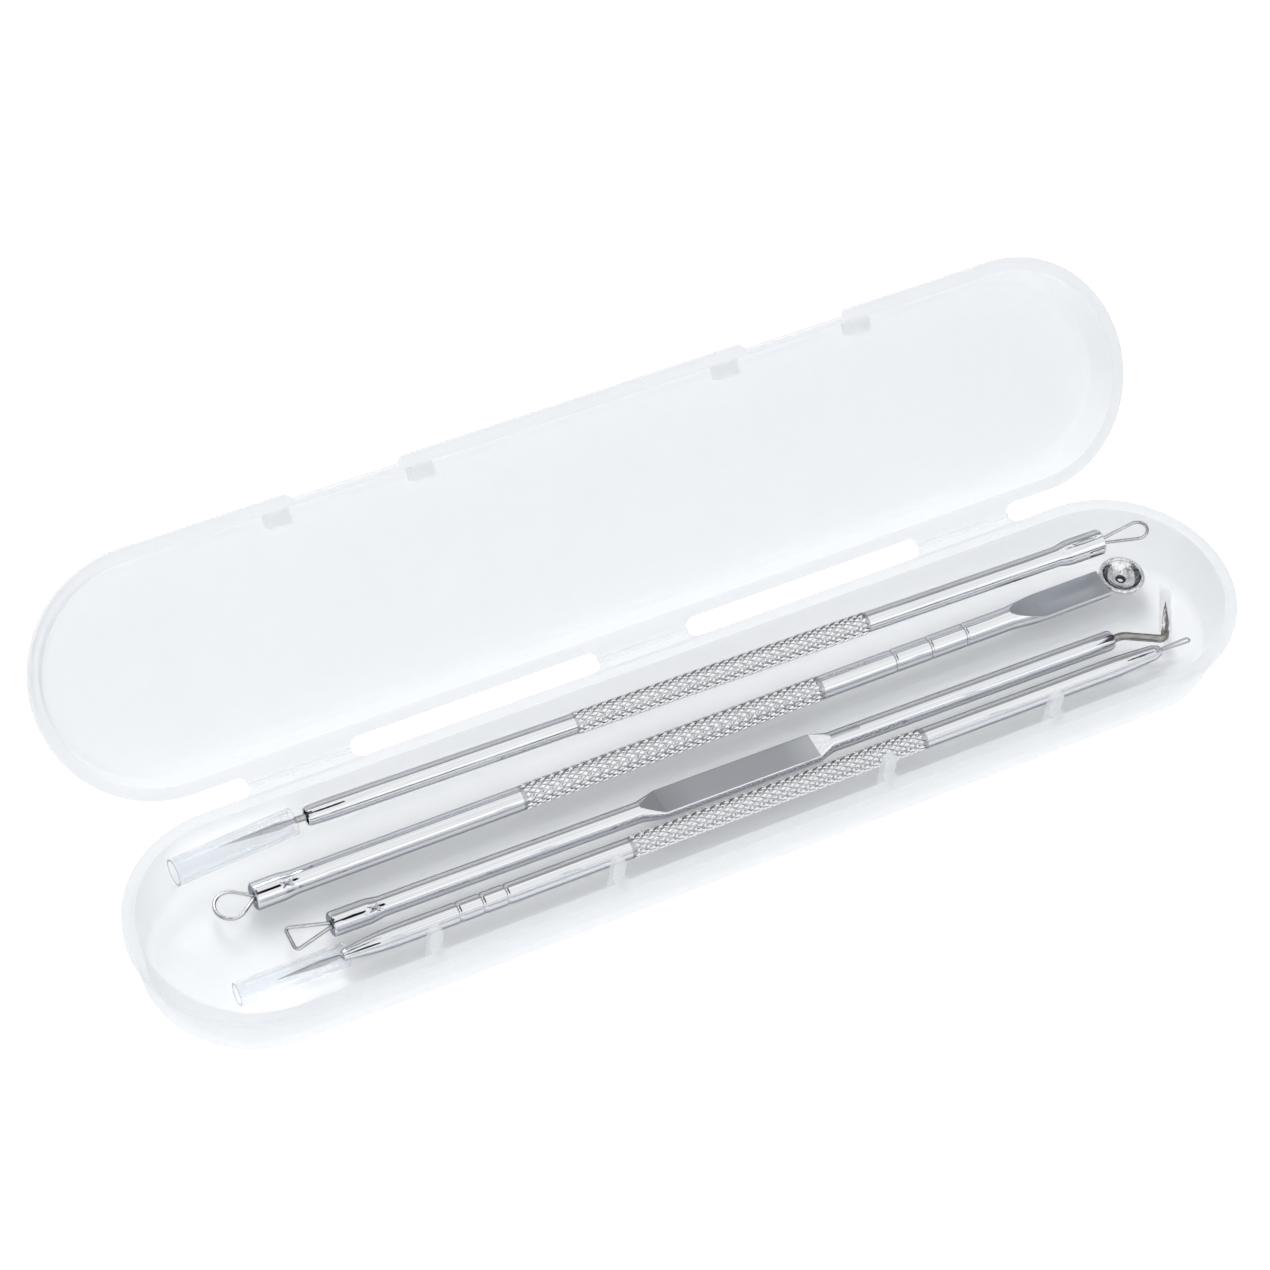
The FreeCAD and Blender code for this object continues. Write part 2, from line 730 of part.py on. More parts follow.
def make_case():
    """The tray, the lid and the webs between them."""
    tray = fuse("tray_with_pegs", [tray_shell()] + pegs())
    label(cut("tray", tray, thumb_cuts()), "base_tray")
    shell = fuse("lid_with_catches", [lid_body()] + catches() + lid_webs())
    lid = label(cut("lid", shell, notches()), "lid_shell")
    lid.Placement = FreeCAD.Placement(ORIGIN, FreeCAD.Rotation(X_AXIS, size("lid_rest_tilt")))
    bind(lid, "Placement.Base.y", AXIS_Y)
    bind(lid, "Placement.Base.z", AXIS_Z)
    bind(lid, "Placement.Rotation.Angle", "lid_rest_tilt")
    tray_webs()


# Tools: each is built along its own X axis, with its left shaft end at X = 0

FLOOR_REST = "floor_thickness + rest_gap + "
TOOL_PLACES = {
    "needle": ("layout.needle_left", NEEDLE_ROW_SHARE,
               "base_height - needle_rim_depth", "needle_yaw"),
    "spoon": ("spoon_shift - (handle_length + spoon_extra) / 2", SPOON_ROW_SHARE,
              FLOOR_REST + "spoon_ferrule_radius", None),
    "grip": ("grip_shift - handle_length / 2", GRIP_ROW_SHARE,
             FLOOR_REST + "grip_ferrule_radius", "grip_yaw"),
    "slim": ("slim_shift - (handle_length + slim_extra) / 2", SLIM_ROW_SHARE,
             FLOOR_REST + "slim_cover_outer_radius", "slim_yaw"),
}


def lay(thing, tool, name):
    """Lay a piece in the tray with the rest of its tool and name it."""
    left, row_share, height, yaw = TOOL_PLACES[tool]
    if yaw:
        thing.Placement = FreeCAD.Placement(ORIGIN, FreeCAD.Rotation(Z_AXIS, abs(size(yaw))))
        bind(thing, "Placement.Rotation.Angle", yaw)
    bind(thing, "Placement.Base.x", left)
    bind(thing, "Placement.Base.y", "%s * case_width" % row_share)
    bind(thing, "Placement.Base.z", height)
    return label(thing, name)


def knurl(name, length, shares, radius):
    """The knurled part of a handle, a little proud of it."""
    start = "%s * %s" % (length, shares[0])
    return rod(name, start, "%s * %s" % (length, shares[1] - shares[0]), radius + " + knurl_rise")


def pinched_end(tool, radius, ferrule_radius, ferrule_length):
    """The opened and pinched tube end that grips a wire loop: solids to add and to take away."""
    add = [rod(tool + "_ferrule", "0", ferrule_length, ferrule_radius),
           rod(tool + "_ferrule_ramp", ferrule_length, "pinch_radius * 2", ferrule_radius, radius)]
    places = ((1, 0), (-1, 0), (0, 1), (0, -1))
    take = []
    for number, (way_y, way_z) in enumerate(places):
        reach = "(%s + pinch_radius - pinch_depth)" % ferrule_radius
        place = (ferrule_length, "%d * %s" % (way_y, reach), "%d * %s" % (way_z, reach))
        take.append(ball("%s_pinch_%d" % (tool, number), place, "pinch_radius"))
    return add, take


def socket(name, start, wire_radius):
    """The hole in a shaft end that takes the two legs of a wire loop."""
    return rod(name, start, "socket_depth", "(2 * %s + leg_gap + socket_clearance)" % wire_radius)


def make_needle_tool():
    """The tool with the straight lancet, the loose clear cover and the long wire loop."""
    length = "(handle_length + needle_extra)"
    flare_start = length + " - needle_flare_length"
    ramp_end = flare_start + " + needle_flare_ramp"
    body = fuse("needle_body", [
        rod("needle_core", "0", flare_start, "needle_radius"),
        knurl("needle_knurl", length, NEEDLE_KNURL_SHARES, "needle_radius"),
        rod("needle_ramp", flare_start, "needle_flare_ramp", "needle_radius", "needle_flare_radius"),
        rod("needle_flare", ramp_end, "needle_flare_length - needle_flare_ramp", "needle_flare_radius")])
    seam = block("needle_seam", (flare_start, "-needle_seam_width / 2",
                                 "needle_flare_radius - needle_seam_depth"),
                 ("needle_flare_length + cut_overrun", "needle_seam_width",
                  "needle_seam_depth + cut_overrun"))
    holes = [rod("needle_bore", "-cut_overrun", "needle_bore_depth + cut_overrun", "needle_bore_radius"),
             socket("needle_socket", length + " - socket_depth", "long_wire_radius"), seam]
    lay(cut("needle_shaft", body, holes), "needle", "needle_loop_shaft")

    sleeve = rod("collet_body", "collet_setback", "collet_length",
                 "needle_bore_radius - collet_clearance")
    hole = rod("collet_hole", "-cut_overrun", "needle_bore_depth + 2 * cut_overrun",
               "lancet_shank_radius + collet_clearance")
    lay(cut("collet", sleeve, [hole]), "needle", "lancet_collet")

    shank_in = size("lancet_shank_in")
    shank_out = size("lancet_shank_out")
    shank = Part.makeCylinder(size("lancet_shank_radius"), shank_in + shank_out,
                              FreeCAD.Vector(-shank_out, 0, 0), X_AXIS)
    root = size("lancet_shank_radius") * math.sqrt(0.5)
    blade = spear([(-shank_out + root, root, size("lancet_half_thickness")),
                   (-size("lancet_wide_place"), size("lancet_wide_half"), size("lancet_half_thickness")),
                   (-size("lancet_reach"), size("lancet_tip_half"), size("lancet_tip_half"))])
    lay(feature("lancet", shank.fuse(blade)), "needle", "straight_lancet")

    outer = Part.makeCylinder(size("cover_outer_radius"), size("cover_length"), ORIGIN, -X_AXIS)
    inner = Part.makeCylinder(size("cover_inner_radius"), size("cover_length"), ORIGIN, -X_AXIS)
    tube = moved(outer.cut(inner), [(Z_AXIS, size("cover_yaw"))],
                 FreeCAD.Vector(-size("cover_start"), 0, 0))
    lay(feature("cover", tube), "needle", "lancet_cover")

    turns = [(Y_AXIS, size("long_loop_lift")), (Z_AXIS, -size("long_loop_turn"))]
    path = teardrop(size("long_loop_reach"), size("long_loop_radius"), size("long_wire_radius"), turns)
    end = FreeCAD.Vector(size("handle_length") + size("needle_extra"), 0, 0)
    loop = moved(swept_wire(path, size("long_wire_radius")), [(Z_AXIS, 180)], end)
    lay(feature("long_loop", loop), "needle", "long_wire_loop")


def make_spoon_tool():
    """The tool with the round wire loop and the flat neck that ends in a cup."""
    length = "(handle_length + spoon_extra)"
    neck_start = length + " - spoon_neck_length"
    knurl_end = "%s * %s" % (length, SPOON_KNURL_SHARES[1])
    add, take = pinched_end("spoon", "spoon_radius", "spoon_ferrule_radius", "spoon_ferrule_length")
    neck_end = size("handle_length") + size("spoon_extra")
    neck = flattened(neck_end - size("spoon_neck_length"), neck_end, size("spoon_ramp"),
                     size("spoon_radius"), size("spoon_neck_half_width"),
                     size("spoon_neck_half_thickness"), True)
    body = fuse("spoon_body", [
        rod("spoon_core", "spoon_ferrule_length", neck_start + " - spoon_ferrule_length", "spoon_radius"),
        knurl("spoon_knurl", length, SPOON_KNURL_SHARES, "spoon_radius"),
        feature("spoon_neck", neck), feature("spoon_cup", cup_solid(neck_end))] + add)
    rings = [ring_cut("spoon_ring_%d" % n, "%s + spoon_ring_start + %d * spoon_ring_pitch" % (knurl_end, n),
                      "spoon_radius") for n in range(3)]
    take += rings + [socket("spoon_socket", "0", "round_wire_radius"),
                     feature("spoon_hollow", cup_hollow(neck_end))]
    lay(cut("spoon_shaft", body, take), "spoon", "spoon_shaft")
    loop = swept_wire(teardrop(size("round_loop_reach"), size("round_loop_radius") + size("round_wire_radius"),
                               size("round_wire_radius")), size("round_wire_radius"))
    lay(feature("round_loop", loop), "spoon", "round_wire_loop")


def cup_ball():
    """Radius of the cup's outer ball and the height of its centre above the rim."""
    rim = size("cup_radius")
    depth = size("cup_depth")
    radius = (rim * rim + depth * depth) / (2 * depth)
    return radius, radius - depth


def cup_solid(place):
    """The outside of the cup: a shallow ball segment under a rounded rim."""
    radius, above = cup_ball()
    top = size("spoon_neck_half_thickness")
    centre = FreeCAD.Vector(place, 0, top + above)
    outside = Part.makeSphere(radius, centre)
    keep = Part.makeCylinder(size("cup_radius"), size("cup_depth"),
                             FreeCAD.Vector(place, 0, top - size("cup_depth")), Z_AXIS)
    rim = Part.makeTorus(size("cup_radius") - size("cup_rim_radius"), size("cup_rim_radius"),
                         FreeCAD.Vector(place, 0, top - size("cup_rim_radius")), Z_AXIS)
    return outside.common(keep).fuse(rim)


def cup_hollow(place):
    """The inside of the cup and the hole through its bottom."""
    radius, above = cup_ball()
    top = size("spoon_neck_half_thickness")
    inside = Part.makeSphere(radius - size("cup_wall"), FreeCAD.Vector(place, 0, top + above))
    hole = Part.makeCylinder(size("cup_hole_radius"), 2 * size("cup_depth"),
                             FreeCAD.Vector(place, 0, top - 2 * size("cup_depth")), Z_AXIS)
    return inside.fuse(hole)


def make_grip_tool():
    """The tool with the triangular wire loop, the pressed flat grip and the bent lancet."""
    full = size("handle_length")
    add, take = pinched_end("grip", "grip_radius", "grip_ferrule_radius", "grip_ferrule_length")
    flat = flattened(full * GRIP_FLAT_SHARES[0], full * GRIP_FLAT_SHARES[1], size("grip_ramp"),
                     size("grip_radius"), size("grip_half_width"), size("grip_half_thickness"), False)
    flat_start = "handle_length * %s" % GRIP_FLAT_SHARES[0]
    flat_end = "handle_length * %s" % GRIP_FLAT_SHARES[1]
    tail = "handle_length - grip_end_chamfer"
    body = fuse("grip_body", [
        rod("grip_left", "grip_ferrule_length", flat_start + " - grip_ferrule_length", "grip_radius"),
        feature("grip_flat", flat),
        rod("grip_right", flat_end, tail + " - " + flat_end, "grip_radius"),
        rod("grip_end", tail, "grip_end_chamfer", "grip_radius", "grip_radius - grip_end_chamfer")] + add)
    take += [socket("grip_socket", "0", "triangle_wire_radius"),
             rod("grip_bore", "handle_length - grip_bore_depth", "grip_bore_depth + cut_overrun",
                 "grip_bore_radius")]
    lay(cut("grip_shaft", body, take), "grip", "flat_grip_shaft")

    plug = rod("grip_collet_body", "handle_length - collet_setback - bent_wire_in", "bent_wire_in",
               "grip_bore_radius - collet_clearance")
    hole = rod("grip_collet_hole", "handle_length - grip_bore_depth - cut_overrun",
               "grip_bore_depth + 2 * cut_overrun", "bent_wire_radius + collet_clearance")
    lay(cut("grip_collet", plug, [hole]), "grip", "bent_lancet_collet")

    leg = size("triangle_wire_radius") + size("leg_gap") / 2
    reach = -(size("triangle_reach") - size("triangle_wire_radius"))
    corner = size("triangle_half_width") - size("triangle_wire_radius")
    upper = [FreeCAD.Vector(size("leg_in"), leg, 0), FreeCAD.Vector(0, leg, 0),
             FreeCAD.Vector(reach, corner, 0)]
    lower = [FreeCAD.Vector(p.x, -p.y, 0) for p in reversed(upper)]
    bends = [size("leg_bend_radius"), size("triangle_bend_radius")]
    path = rounded_path(upper + lower, bends + bends[::-1])
    lay(feature("triangle_loop", swept_wire(path, size("triangle_wire_radius"))),
        "grip", "triangle_wire_loop")

    path, turn, tip_root = bent_path(full)
    stem = swept_wire(path, size("bent_wire_radius"))
    root = size("bent_wire_radius") * math.sqrt(0.5)
    blade = spear([(-root, root, size("bent_half_thickness")),
                   (size("bent_neck"), size("bent_wide_half"), size("bent_half_thickness")),
                   (size("bent_reach") - size("bent_neck"), size("lancet_tip_half"),
                    size("lancet_tip_half"))])
    blade = moved(blade, [(Z_AXIS, turn)], tip_root)
    lay(feature("bent_lancet", stem.fuse(blade)), "grip", "bent_lancet")

    outer = Part.makeCylinder(size("sleeve_outer_radius"), size("sleeve_length"), ORIGIN, X_AXIS)
    inner = Part.makeCylinder(size("sleeve_inner_radius"), size("sleeve_length"), ORIGIN, X_AXIS)
    sleeve = moved(outer.cut(inner), [(Z_AXIS, turn)], tip_root)
    lay(feature("sleeve", sleeve), "grip", "bent_lancet_sleeve")


def bent_path(end):
    """The bent wire's path, the direction of its tip and the place where its round part ends."""
    turn = size("bent_tip_angle")
    way = FreeCAD.Vector(math.cos(math.radians(turn)), math.sin(math.radians(turn)), 0)
    corner = FreeCAD.Vector(end + size("bent_wire_out"), -size("bent_wire_drop"), 0)
    tip_root = corner + way * size("bent_neck")
    points = [FreeCAD.Vector(end - size("bent_wire_in"), 0, 0),
              FreeCAD.Vector(end + size("bent_wire_run"), 0, 0), corner, tip_root]
    return rounded_path(points, [size("bent_wire_curve"), size("bent_tip_curve")]), turn, tip_root


def make_slim_tool():
    """The tool with the fine covered lancet at one end and the fine eye loop at the other."""
    length = "(handle_length + slim_extra)"
    tail_start = length + " - slim_tail_length"
    point_start = length + " - slim_point_length"
    body = fuse("slim_body", [
        rod("slim_nose", "0", "slim_nose_length", "slim_nose_radius", "slim_radius"),
        rod("slim_core", "slim_nose_length", tail_start + " - slim_nose_length", "slim_radius"),
        knurl("slim_knurl", length, SLIM_KNURL_SHARES, "slim_radius"),
        rod("slim_tail", tail_start, "slim_tail_length - slim_point_length", "slim_radius",
            "slim_tail_radius"),
        rod("slim_point", point_start, "slim_point_length", "slim_tail_radius", "slim_point_radius")])
    take = [ring_cut("slim_ring_%d" % n, "slim_ring_start + %d * slim_ring_pitch" % n, "slim_radius")
            for n in range(3)]
    take += [rod("slim_bore", "-cut_overrun", "slim_bore_depth + cut_overrun",
                 "slim_shank_radius + collet_clearance"),
             socket("slim_socket", length + " - socket_depth", "eye_wire_radius")]
    lay(cut("slim_shaft", body, take), "slim", "slim_shaft")

    depth = size("slim_bore_depth")
    root = size("slim_shank_radius") * math.sqrt(0.5)
    shank = Part.makeCylinder(size("slim_shank_radius"), depth + root,
                              FreeCAD.Vector(-root, 0, 0), X_AXIS)
    blade = spear([(0, root, size("slim_lancet_half_thickness")),
                   (-size("slim_lancet_wide_place"), size("slim_lancet_wide_half"),
                    size("slim_lancet_half_thickness")),
                   (-size("slim_lancet_reach"), size("lancet_tip_half"), size("lancet_tip_half"))])
    lay(feature("slim_lancet", shank.fuse(blade)), "slim", "slim_lancet")

    lap = FreeCAD.Vector(size("slim_cover_lap"), 0, 0)
    outer = Part.makeCylinder(size("slim_cover_outer_radius"), size("slim_cover_length"), lap, -X_AXIS)
    inner = Part.makeCylinder(size("slim_cover_inner_radius"), size("slim_cover_length"), lap, -X_AXIS)
    lay(feature("slim_cover", outer.cut(inner)), "slim", "slim_lancet_cover")

    loop = swept_wire(teardrop(size("eye_reach"), size("eye_radius") + size("eye_wire_radius"),
                               size("eye_wire_radius")), size("eye_wire_radius"))
    end = FreeCAD.Vector(size("handle_length") + size("slim_extra"), 0, 0)
    lay(feature("eye_loop", moved(loop, [(Z_AXIS, 180)], end)), "slim", "fine_eye_loop")


def check_and_write():
    """Stop on any failed object or shape, then write each piece to its own file."""
    doc.recompute()
    for thing in doc.Objects:
        if "Invalid" in thing.State or "Error" in thing.State:
            raise RuntimeError("%s is in state %s" % (thing.Label, thing.State))
    for thing in NODES:
        shape = thing.Shape
        if shape.isNull() or not shape.isValid() or len(shape.Solids) != 1:
            raise RuntimeError("%s has no single valid solid" % thing.Label)
    for thing in NODES:
        shape = thing.Shape
        shape.exportStep("parts/%s.step" % thing.Label)
        print("%-22s volume %9.2f" % (thing.Label, shape.Volume), shape.BoundBox)


make_case()
make_needle_tool()
make_spoon_tool()
make_grip_tool()
make_slim_tool()
check_and_write()
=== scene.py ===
"""Looks of an open hinged plastic case that holds four double-ended steel skin tools."""

import logging
import math
from dataclasses import dataclass, replace
from enum import Enum
from typing import Sequence

import bmesh
import bpy
from mathutils import Matrix, Vector


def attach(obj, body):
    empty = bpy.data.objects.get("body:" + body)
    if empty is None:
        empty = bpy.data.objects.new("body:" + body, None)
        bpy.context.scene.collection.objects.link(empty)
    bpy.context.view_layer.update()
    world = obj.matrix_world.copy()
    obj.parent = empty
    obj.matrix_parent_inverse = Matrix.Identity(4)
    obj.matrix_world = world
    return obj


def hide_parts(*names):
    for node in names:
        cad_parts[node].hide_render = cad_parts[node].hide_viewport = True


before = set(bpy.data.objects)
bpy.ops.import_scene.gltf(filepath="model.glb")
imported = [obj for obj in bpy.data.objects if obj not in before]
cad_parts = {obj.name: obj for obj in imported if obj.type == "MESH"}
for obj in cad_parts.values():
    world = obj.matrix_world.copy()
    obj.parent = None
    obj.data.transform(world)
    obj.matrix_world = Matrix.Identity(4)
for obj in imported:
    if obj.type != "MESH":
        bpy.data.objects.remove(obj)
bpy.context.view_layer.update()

LOG = logging.getLogger("tool_case")

Colour = tuple[float, float, float]
Place = tuple[float, float, float]
Pair = tuple[float, float]
Thing = bpy.types.Object
Socket = bpy.types.NodeSocket
Value = float | Socket

MM = 0.001  # metres in a millimetre
METAL_EDGE_SHADE: Colour = (0.22, 0.24, 0.27)  # tint of bare metal at a glancing angle, made dark as painted shade along the tools' edges
NOISE = {"Scale": 1.0, "Detail": 4.0, "Roughness": 0.55}
TINT_ENDS: Pair = (0.35, 0.65)  # noise values where the two colours are pure
ROUGH_ENDS: Pair = (0.3, 0.7)  # noise values of the lowest and highest roughness
MERGE_GAP = 0.0005  # points this near in mm become one
SLIVER = 0.0003  # edges this short in mm are dissolved
FLAT_FACING = 0.97  # upright part of the normal of a face that counts as flat
END_FACING = 0.4  # part of a normal along a tube that marks its cut end
MELT = 0.3  # share of a tube's wall that its melted ends round off
SQUARE = ((-1, -1), (1, -1), (1, 1), (-1, 1))
DIAMOND = ((1, 0), (0.5, 0.5), (0, 1), (-0.5, 0.5), (-1, 0), (-0.5, -0.5), (0, -1), (0.5, -0.5))
RING_GROOVE = (
    (-0.24, 0.0), (-0.17, 0.05), (-0.09, 0.11), (0.0, 0.13),
    (0.09, 0.11), (0.17, 0.05), (0.24, 0.0))  # places along a ring groove and its depths in mm


class Slot(Enum):
    """Names of two material slots of the record."""

    SHAFT = "shaft_chrome"
    COVER = "cover_plastic"


class Body(Enum):
    """Bodies of the part that the pieces move with."""

    NEEDLE = "needle_tool"
    NEEDLE_COVER = "needle_cover"
    SPOON = "spoon_tool"
    GRIP = "grip_tool"
    GRIP_SLEEVE = "grip_sleeve"
    SLIM = "slim_tool"
    SLIM_COVER = "slim_cover"


class Graph:
    """A node tree that is written one node at a time."""

    def __init__(self, tree: bpy.types.NodeTree) -> None:
        """Start on that tree and empty it."""
        self.tree = tree
        tree.nodes.clear()

    def add(self, kind: str, inputs: dict | None = None, **settings: str) -> bpy.types.Node:
        """Add one node.

        Args:
            kind: the node's type name.
            inputs: values for its inputs, or sockets to link to them, by name or number.
            settings: properties of the node itself.

        Returns:
            The new node.
        """
        node = self.tree.nodes.new(kind)
        for name, value in settings.items():
            setattr(node, name, value)
        for key, value in (inputs or {}).items():
            if isinstance(value, Socket):
                self.tree.links.new(value, node.inputs[key])
            else:
                node.inputs[key].default_value = value
        return node

    def out(self, kind: str, inputs: dict | None = None, **settings: str) -> Socket:
        """The first output of a node that it adds."""
        return self.add(kind, inputs, **settings).outputs[0]

    def math(self, operation: str, first: Value, second: Value = 0.0,
             third: Value = 0.0) -> Socket:
        """The result of a Math node."""
        return self.out("ShaderNodeMath", {0: first, 1: second, 2: third}, operation=operation)

    def mix(self, share: Value, first: Socket, second: Socket) -> Socket:
        """A mix of two shaders, with that share of the second one."""
        return self.out("ShaderNodeMixShader", {0: share, 1: first, 2: second})

    def glow(self, strength: float) -> Socket:
        """A white glow."""
        return self.out("ShaderNodeEmission", {"Color": (1, 1, 1, 1), "Strength": strength})

    def seen(self) -> Socket:
        """One for camera, glossy and transmission rays.

        Returns:
            The socket.
        """
        rays = self.add("ShaderNodeLightPath").outputs
        some = self.math("MAXIMUM", rays["Is Camera Ray"], rays["Is Glossy Ray"])
        return self.math("MAXIMUM", some, rays["Is Transmission Ray"])


def new_material(name: str) -> tuple[bpy.types.Material, Graph]:
    """Start a material.

    Args:
        name: its name.

    Returns:
        The material and its empty tree.
    """
    made = bpy.data.materials.new(name)
    made.use_nodes = True
    return made, Graph(made.node_tree)


def placed(name: str, data: bpy.types.ID) -> Thing:
    """Put a mesh, lamp or camera into the scene.

    Args:
        name: the object's name.
        data: the mesh, lamp or camera.

    Returns:
        The new object, at the origin.
    """
    thing = bpy.data.objects.new(name, data)
    bpy.context.scene.collection.objects.link(thing)
    return thing


@dataclass(frozen=True)
class Finish:
    """A finish whose colour, roughness and relief vary over the surface.

    The colour varies towards the second one and the roughness between its two values. Grain is
    the pattern's size in mm along X, Y and Z, turn its yaw in degrees, and relief the depth of
    the bump in mm. Shadow is the share of the lamps' light that passes in shadows, alpha how
    solid it looks, and coat the strength of a clear gloss on top.
    """

    name: str
    colour: Colour
    second: Colour
    roughness: Pair
    grain: Place
    relief: float
    metallic: float = 0.0
    transmission: float = 0.0
    ior: float = 1.5
    turn: float = 0.0
    shadow: float = 0.0
    alpha: float = 1.0
    coat: float = 0.0

    def material(self) -> bpy.types.Material:
        """Make the finish's material, or return the one already made.

        Returns:
            The material.
        """
        found = bpy.data.materials.get(self.name)
        if found:
            return found
        made, graph = new_material(self.name)
        place = graph.add("ShaderNodeTexCoord").outputs["Object"]
        turned = graph.out("ShaderNodeMapping", {
            "Vector": place, "Rotation": (0, 0, math.radians(-self.turn)),
            "Scale": tuple(1 / (size * MM) for size in self.grain)}, vector_type="POINT")
        noise = graph.add("ShaderNodeTexNoise", {"Vector": turned, **NOISE}).outputs["Fac"]
        tint = graph.add("ShaderNodeValToRGB", {"Fac": noise})
        stops = zip(tint.color_ramp.elements, TINT_ENDS, (self.colour, self.second))
        for stop, position, colour in stops:
            stop.position = position
            stop.color = (*colour, 1)
        rough = graph.out("ShaderNodeMapRange", {
            "Value": noise, "From Min": ROUGH_ENDS[0], "From Max": ROUGH_ENDS[1],
            "To Min": self.roughness[0], "To Max": self.roughness[1]})
        bump = graph.out("ShaderNodeBump", {
            "Height": noise, "Strength": 1.0, "Distance": self.relief * MM})
        result = graph.out("ShaderNodeBsdfPrincipled", {
            "Base Color": tint.outputs[0], "Roughness": rough, "Metallic": self.metallic,
            "Transmission Weight": self.transmission, "IOR": self.ior, "Alpha": self.alpha,
            "Coat Weight": self.coat, "Normal": bump,
            "Specular Tint": (*METAL_EDGE_SHADE, 1) if self.metallic else (1, 1, 1, 1)})
        if self.shadow:
            rays = graph.add("ShaderNodeLightPath").outputs
            share = graph.math("MULTIPLY", rays["Is Shadow Ray"], self.shadow)
            result = graph.mix(share, result, graph.out("ShaderNodeBsdfTransparent"))
        graph.add("ShaderNodeOutputMaterial", {"Surface": result})
        return made


CASE_FINISH = Finish(
    "frosted_case_plastic", (0.9, 0.906, 0.915), (0.915, 0.92, 0.927), (0.28, 0.4),
    (6.0, 6.0, 6.0), 0.006, ior=1.42, shadow=0.86, alpha=0.45)
HINGE_FINISH = Finish(
    "thin_web_plastic", (0.89, 0.896, 0.905), (0.91, 0.915, 0.922), (0.26, 0.38),
    (2.0, 1.0, 1.0), 0.006, ior=1.42, shadow=0.86, alpha=0.42)
COVER_FINISH = Finish(
    "clear_cover_plastic", (0.86, 0.895, 0.93), (0.9, 0.93, 0.955), (0.03, 0.05),
    (80.0, 60.0, 60.0), 0.0, transmission=1.0, ior=1.14, shadow=0.9, alpha=0.5, coat=0.7)
SLEEVE_FINISH = Finish(
    "thin_sleeve_plastic", (0.95, 0.965, 0.985), (0.96, 0.973, 0.99), (0.03, 0.05),
    (80.0, 60.0, 60.0), 0.0, transmission=1.0, ior=1.08, shadow=0.94, alpha=0.16, coat=0.15)
# Painted shade: a darker, more solid blue-grey on the clear covers' cut ends.
CUT_END_SHADE_FINISH = Finish(
    "cut_tube_end_painted_shade", (0.33, 0.39, 0.47), (0.43, 0.49, 0.57), (0.2, 0.34),
    (0.4, 0.4, 0.4), 0.004, ior=1.45, shadow=0.6, alpha=0.85)
SHAFT_FINISH = Finish(
    "chrome", (0.72, 0.74, 0.77), (0.86, 0.87, 0.885), (0.05, 0.15),
    (30.0, 0.14, 0.14), 0.005, metallic=1.0)
KNURL_FINISH = Finish(
    "knurled_chrome", (0.9, 0.91, 0.925), (0.97, 0.975, 0.98), (0.13, 0.23),
    (1.4, 0.5, 0.5), 0.004, metallic=1.0)
# Painted shade: the shaft under the knurl is a darker steel, where shade falls between the
# diamonds.
KNURL_GROOVE_SHADE_FINISH = Finish(
    "knurl_groove_painted_shade", (0.42, 0.43, 0.445), (0.6, 0.61, 0.625), (0.2, 0.32),
    (0.6, 0.4, 0.4), 0.004, metallic=1.0)
# Painted shade: near-black steel for the lines in seams and end slits, and around the cup's hole.
SLIT_AND_HOLE_SHADE_FINISH = Finish(
    "slit_and_hole_painted_shade", (0.05, 0.05, 0.053), (0.12, 0.12, 0.125), (0.3, 0.45),
    (0.5, 0.2, 0.2), 0.004, metallic=1.0)
PRESSED_FINISH = Finish(
    "pressed_flat_steel", (0.54, 0.56, 0.59), (0.57, 0.59, 0.62), (0.27, 0.29),
    (24.0, 8.0, 8.0), 0.0, metallic=1.0)
# Partly the cup's chrome, partly painted reflection: patches from mid grey to near white stand in
# for what the cup mirrors.
CUP_CHROME_AND_REFLECTION_FINISH = Finish(
    "cup_chrome_painted_reflection", (0.62, 0.625, 0.63), (0.98, 0.983, 0.986), (0.04, 0.2),
    (0.75, 0.75, 0.75), 0.12, metallic=1.0)
# Painted reflection: near-black crescents inside the cup, where it would mirror dark surroundings.
CRESCENT_REFLECTION_FINISH = Finish(
    "cup_painted_dark_reflection", (0.09, 0.092, 0.096), (0.3, 0.305, 0.31), (0.12, 0.3),
    (0.4, 0.4, 0.4), 0.01, metallic=1.0)
WIRE_FINISH = Finish(
    "drawn_loop_wire", (0.54, 0.545, 0.55), (0.68, 0.68, 0.685), (0.1, 0.2),
    (1.5, 0.3, 0.3), 0.004, metallic=1.0)
BLADE_FINISH = Finish(
    "ground_blade_steel", (0.46, 0.46, 0.455), (0.58, 0.575, 0.565), (0.14, 0.26),
    (0.12, 2.0, 0.5), 0.004, metallic=1.0)
BENT_FINISH = Finish(
    "warm_bent_wire_steel", (0.3, 0.292, 0.274), (0.42, 0.41, 0.385), (0.18, 0.3),
    (1.2, 0.6, 0.6), 0.004, metallic=1.0)
COLLET_FINISH = Finish(
    "dark_collet_steel", (0.03, 0.03, 0.032), (0.07, 0.07, 0.073), (0.3, 0.45),
    (0.6, 0.4, 0.4), 0.004, metallic=1.0)


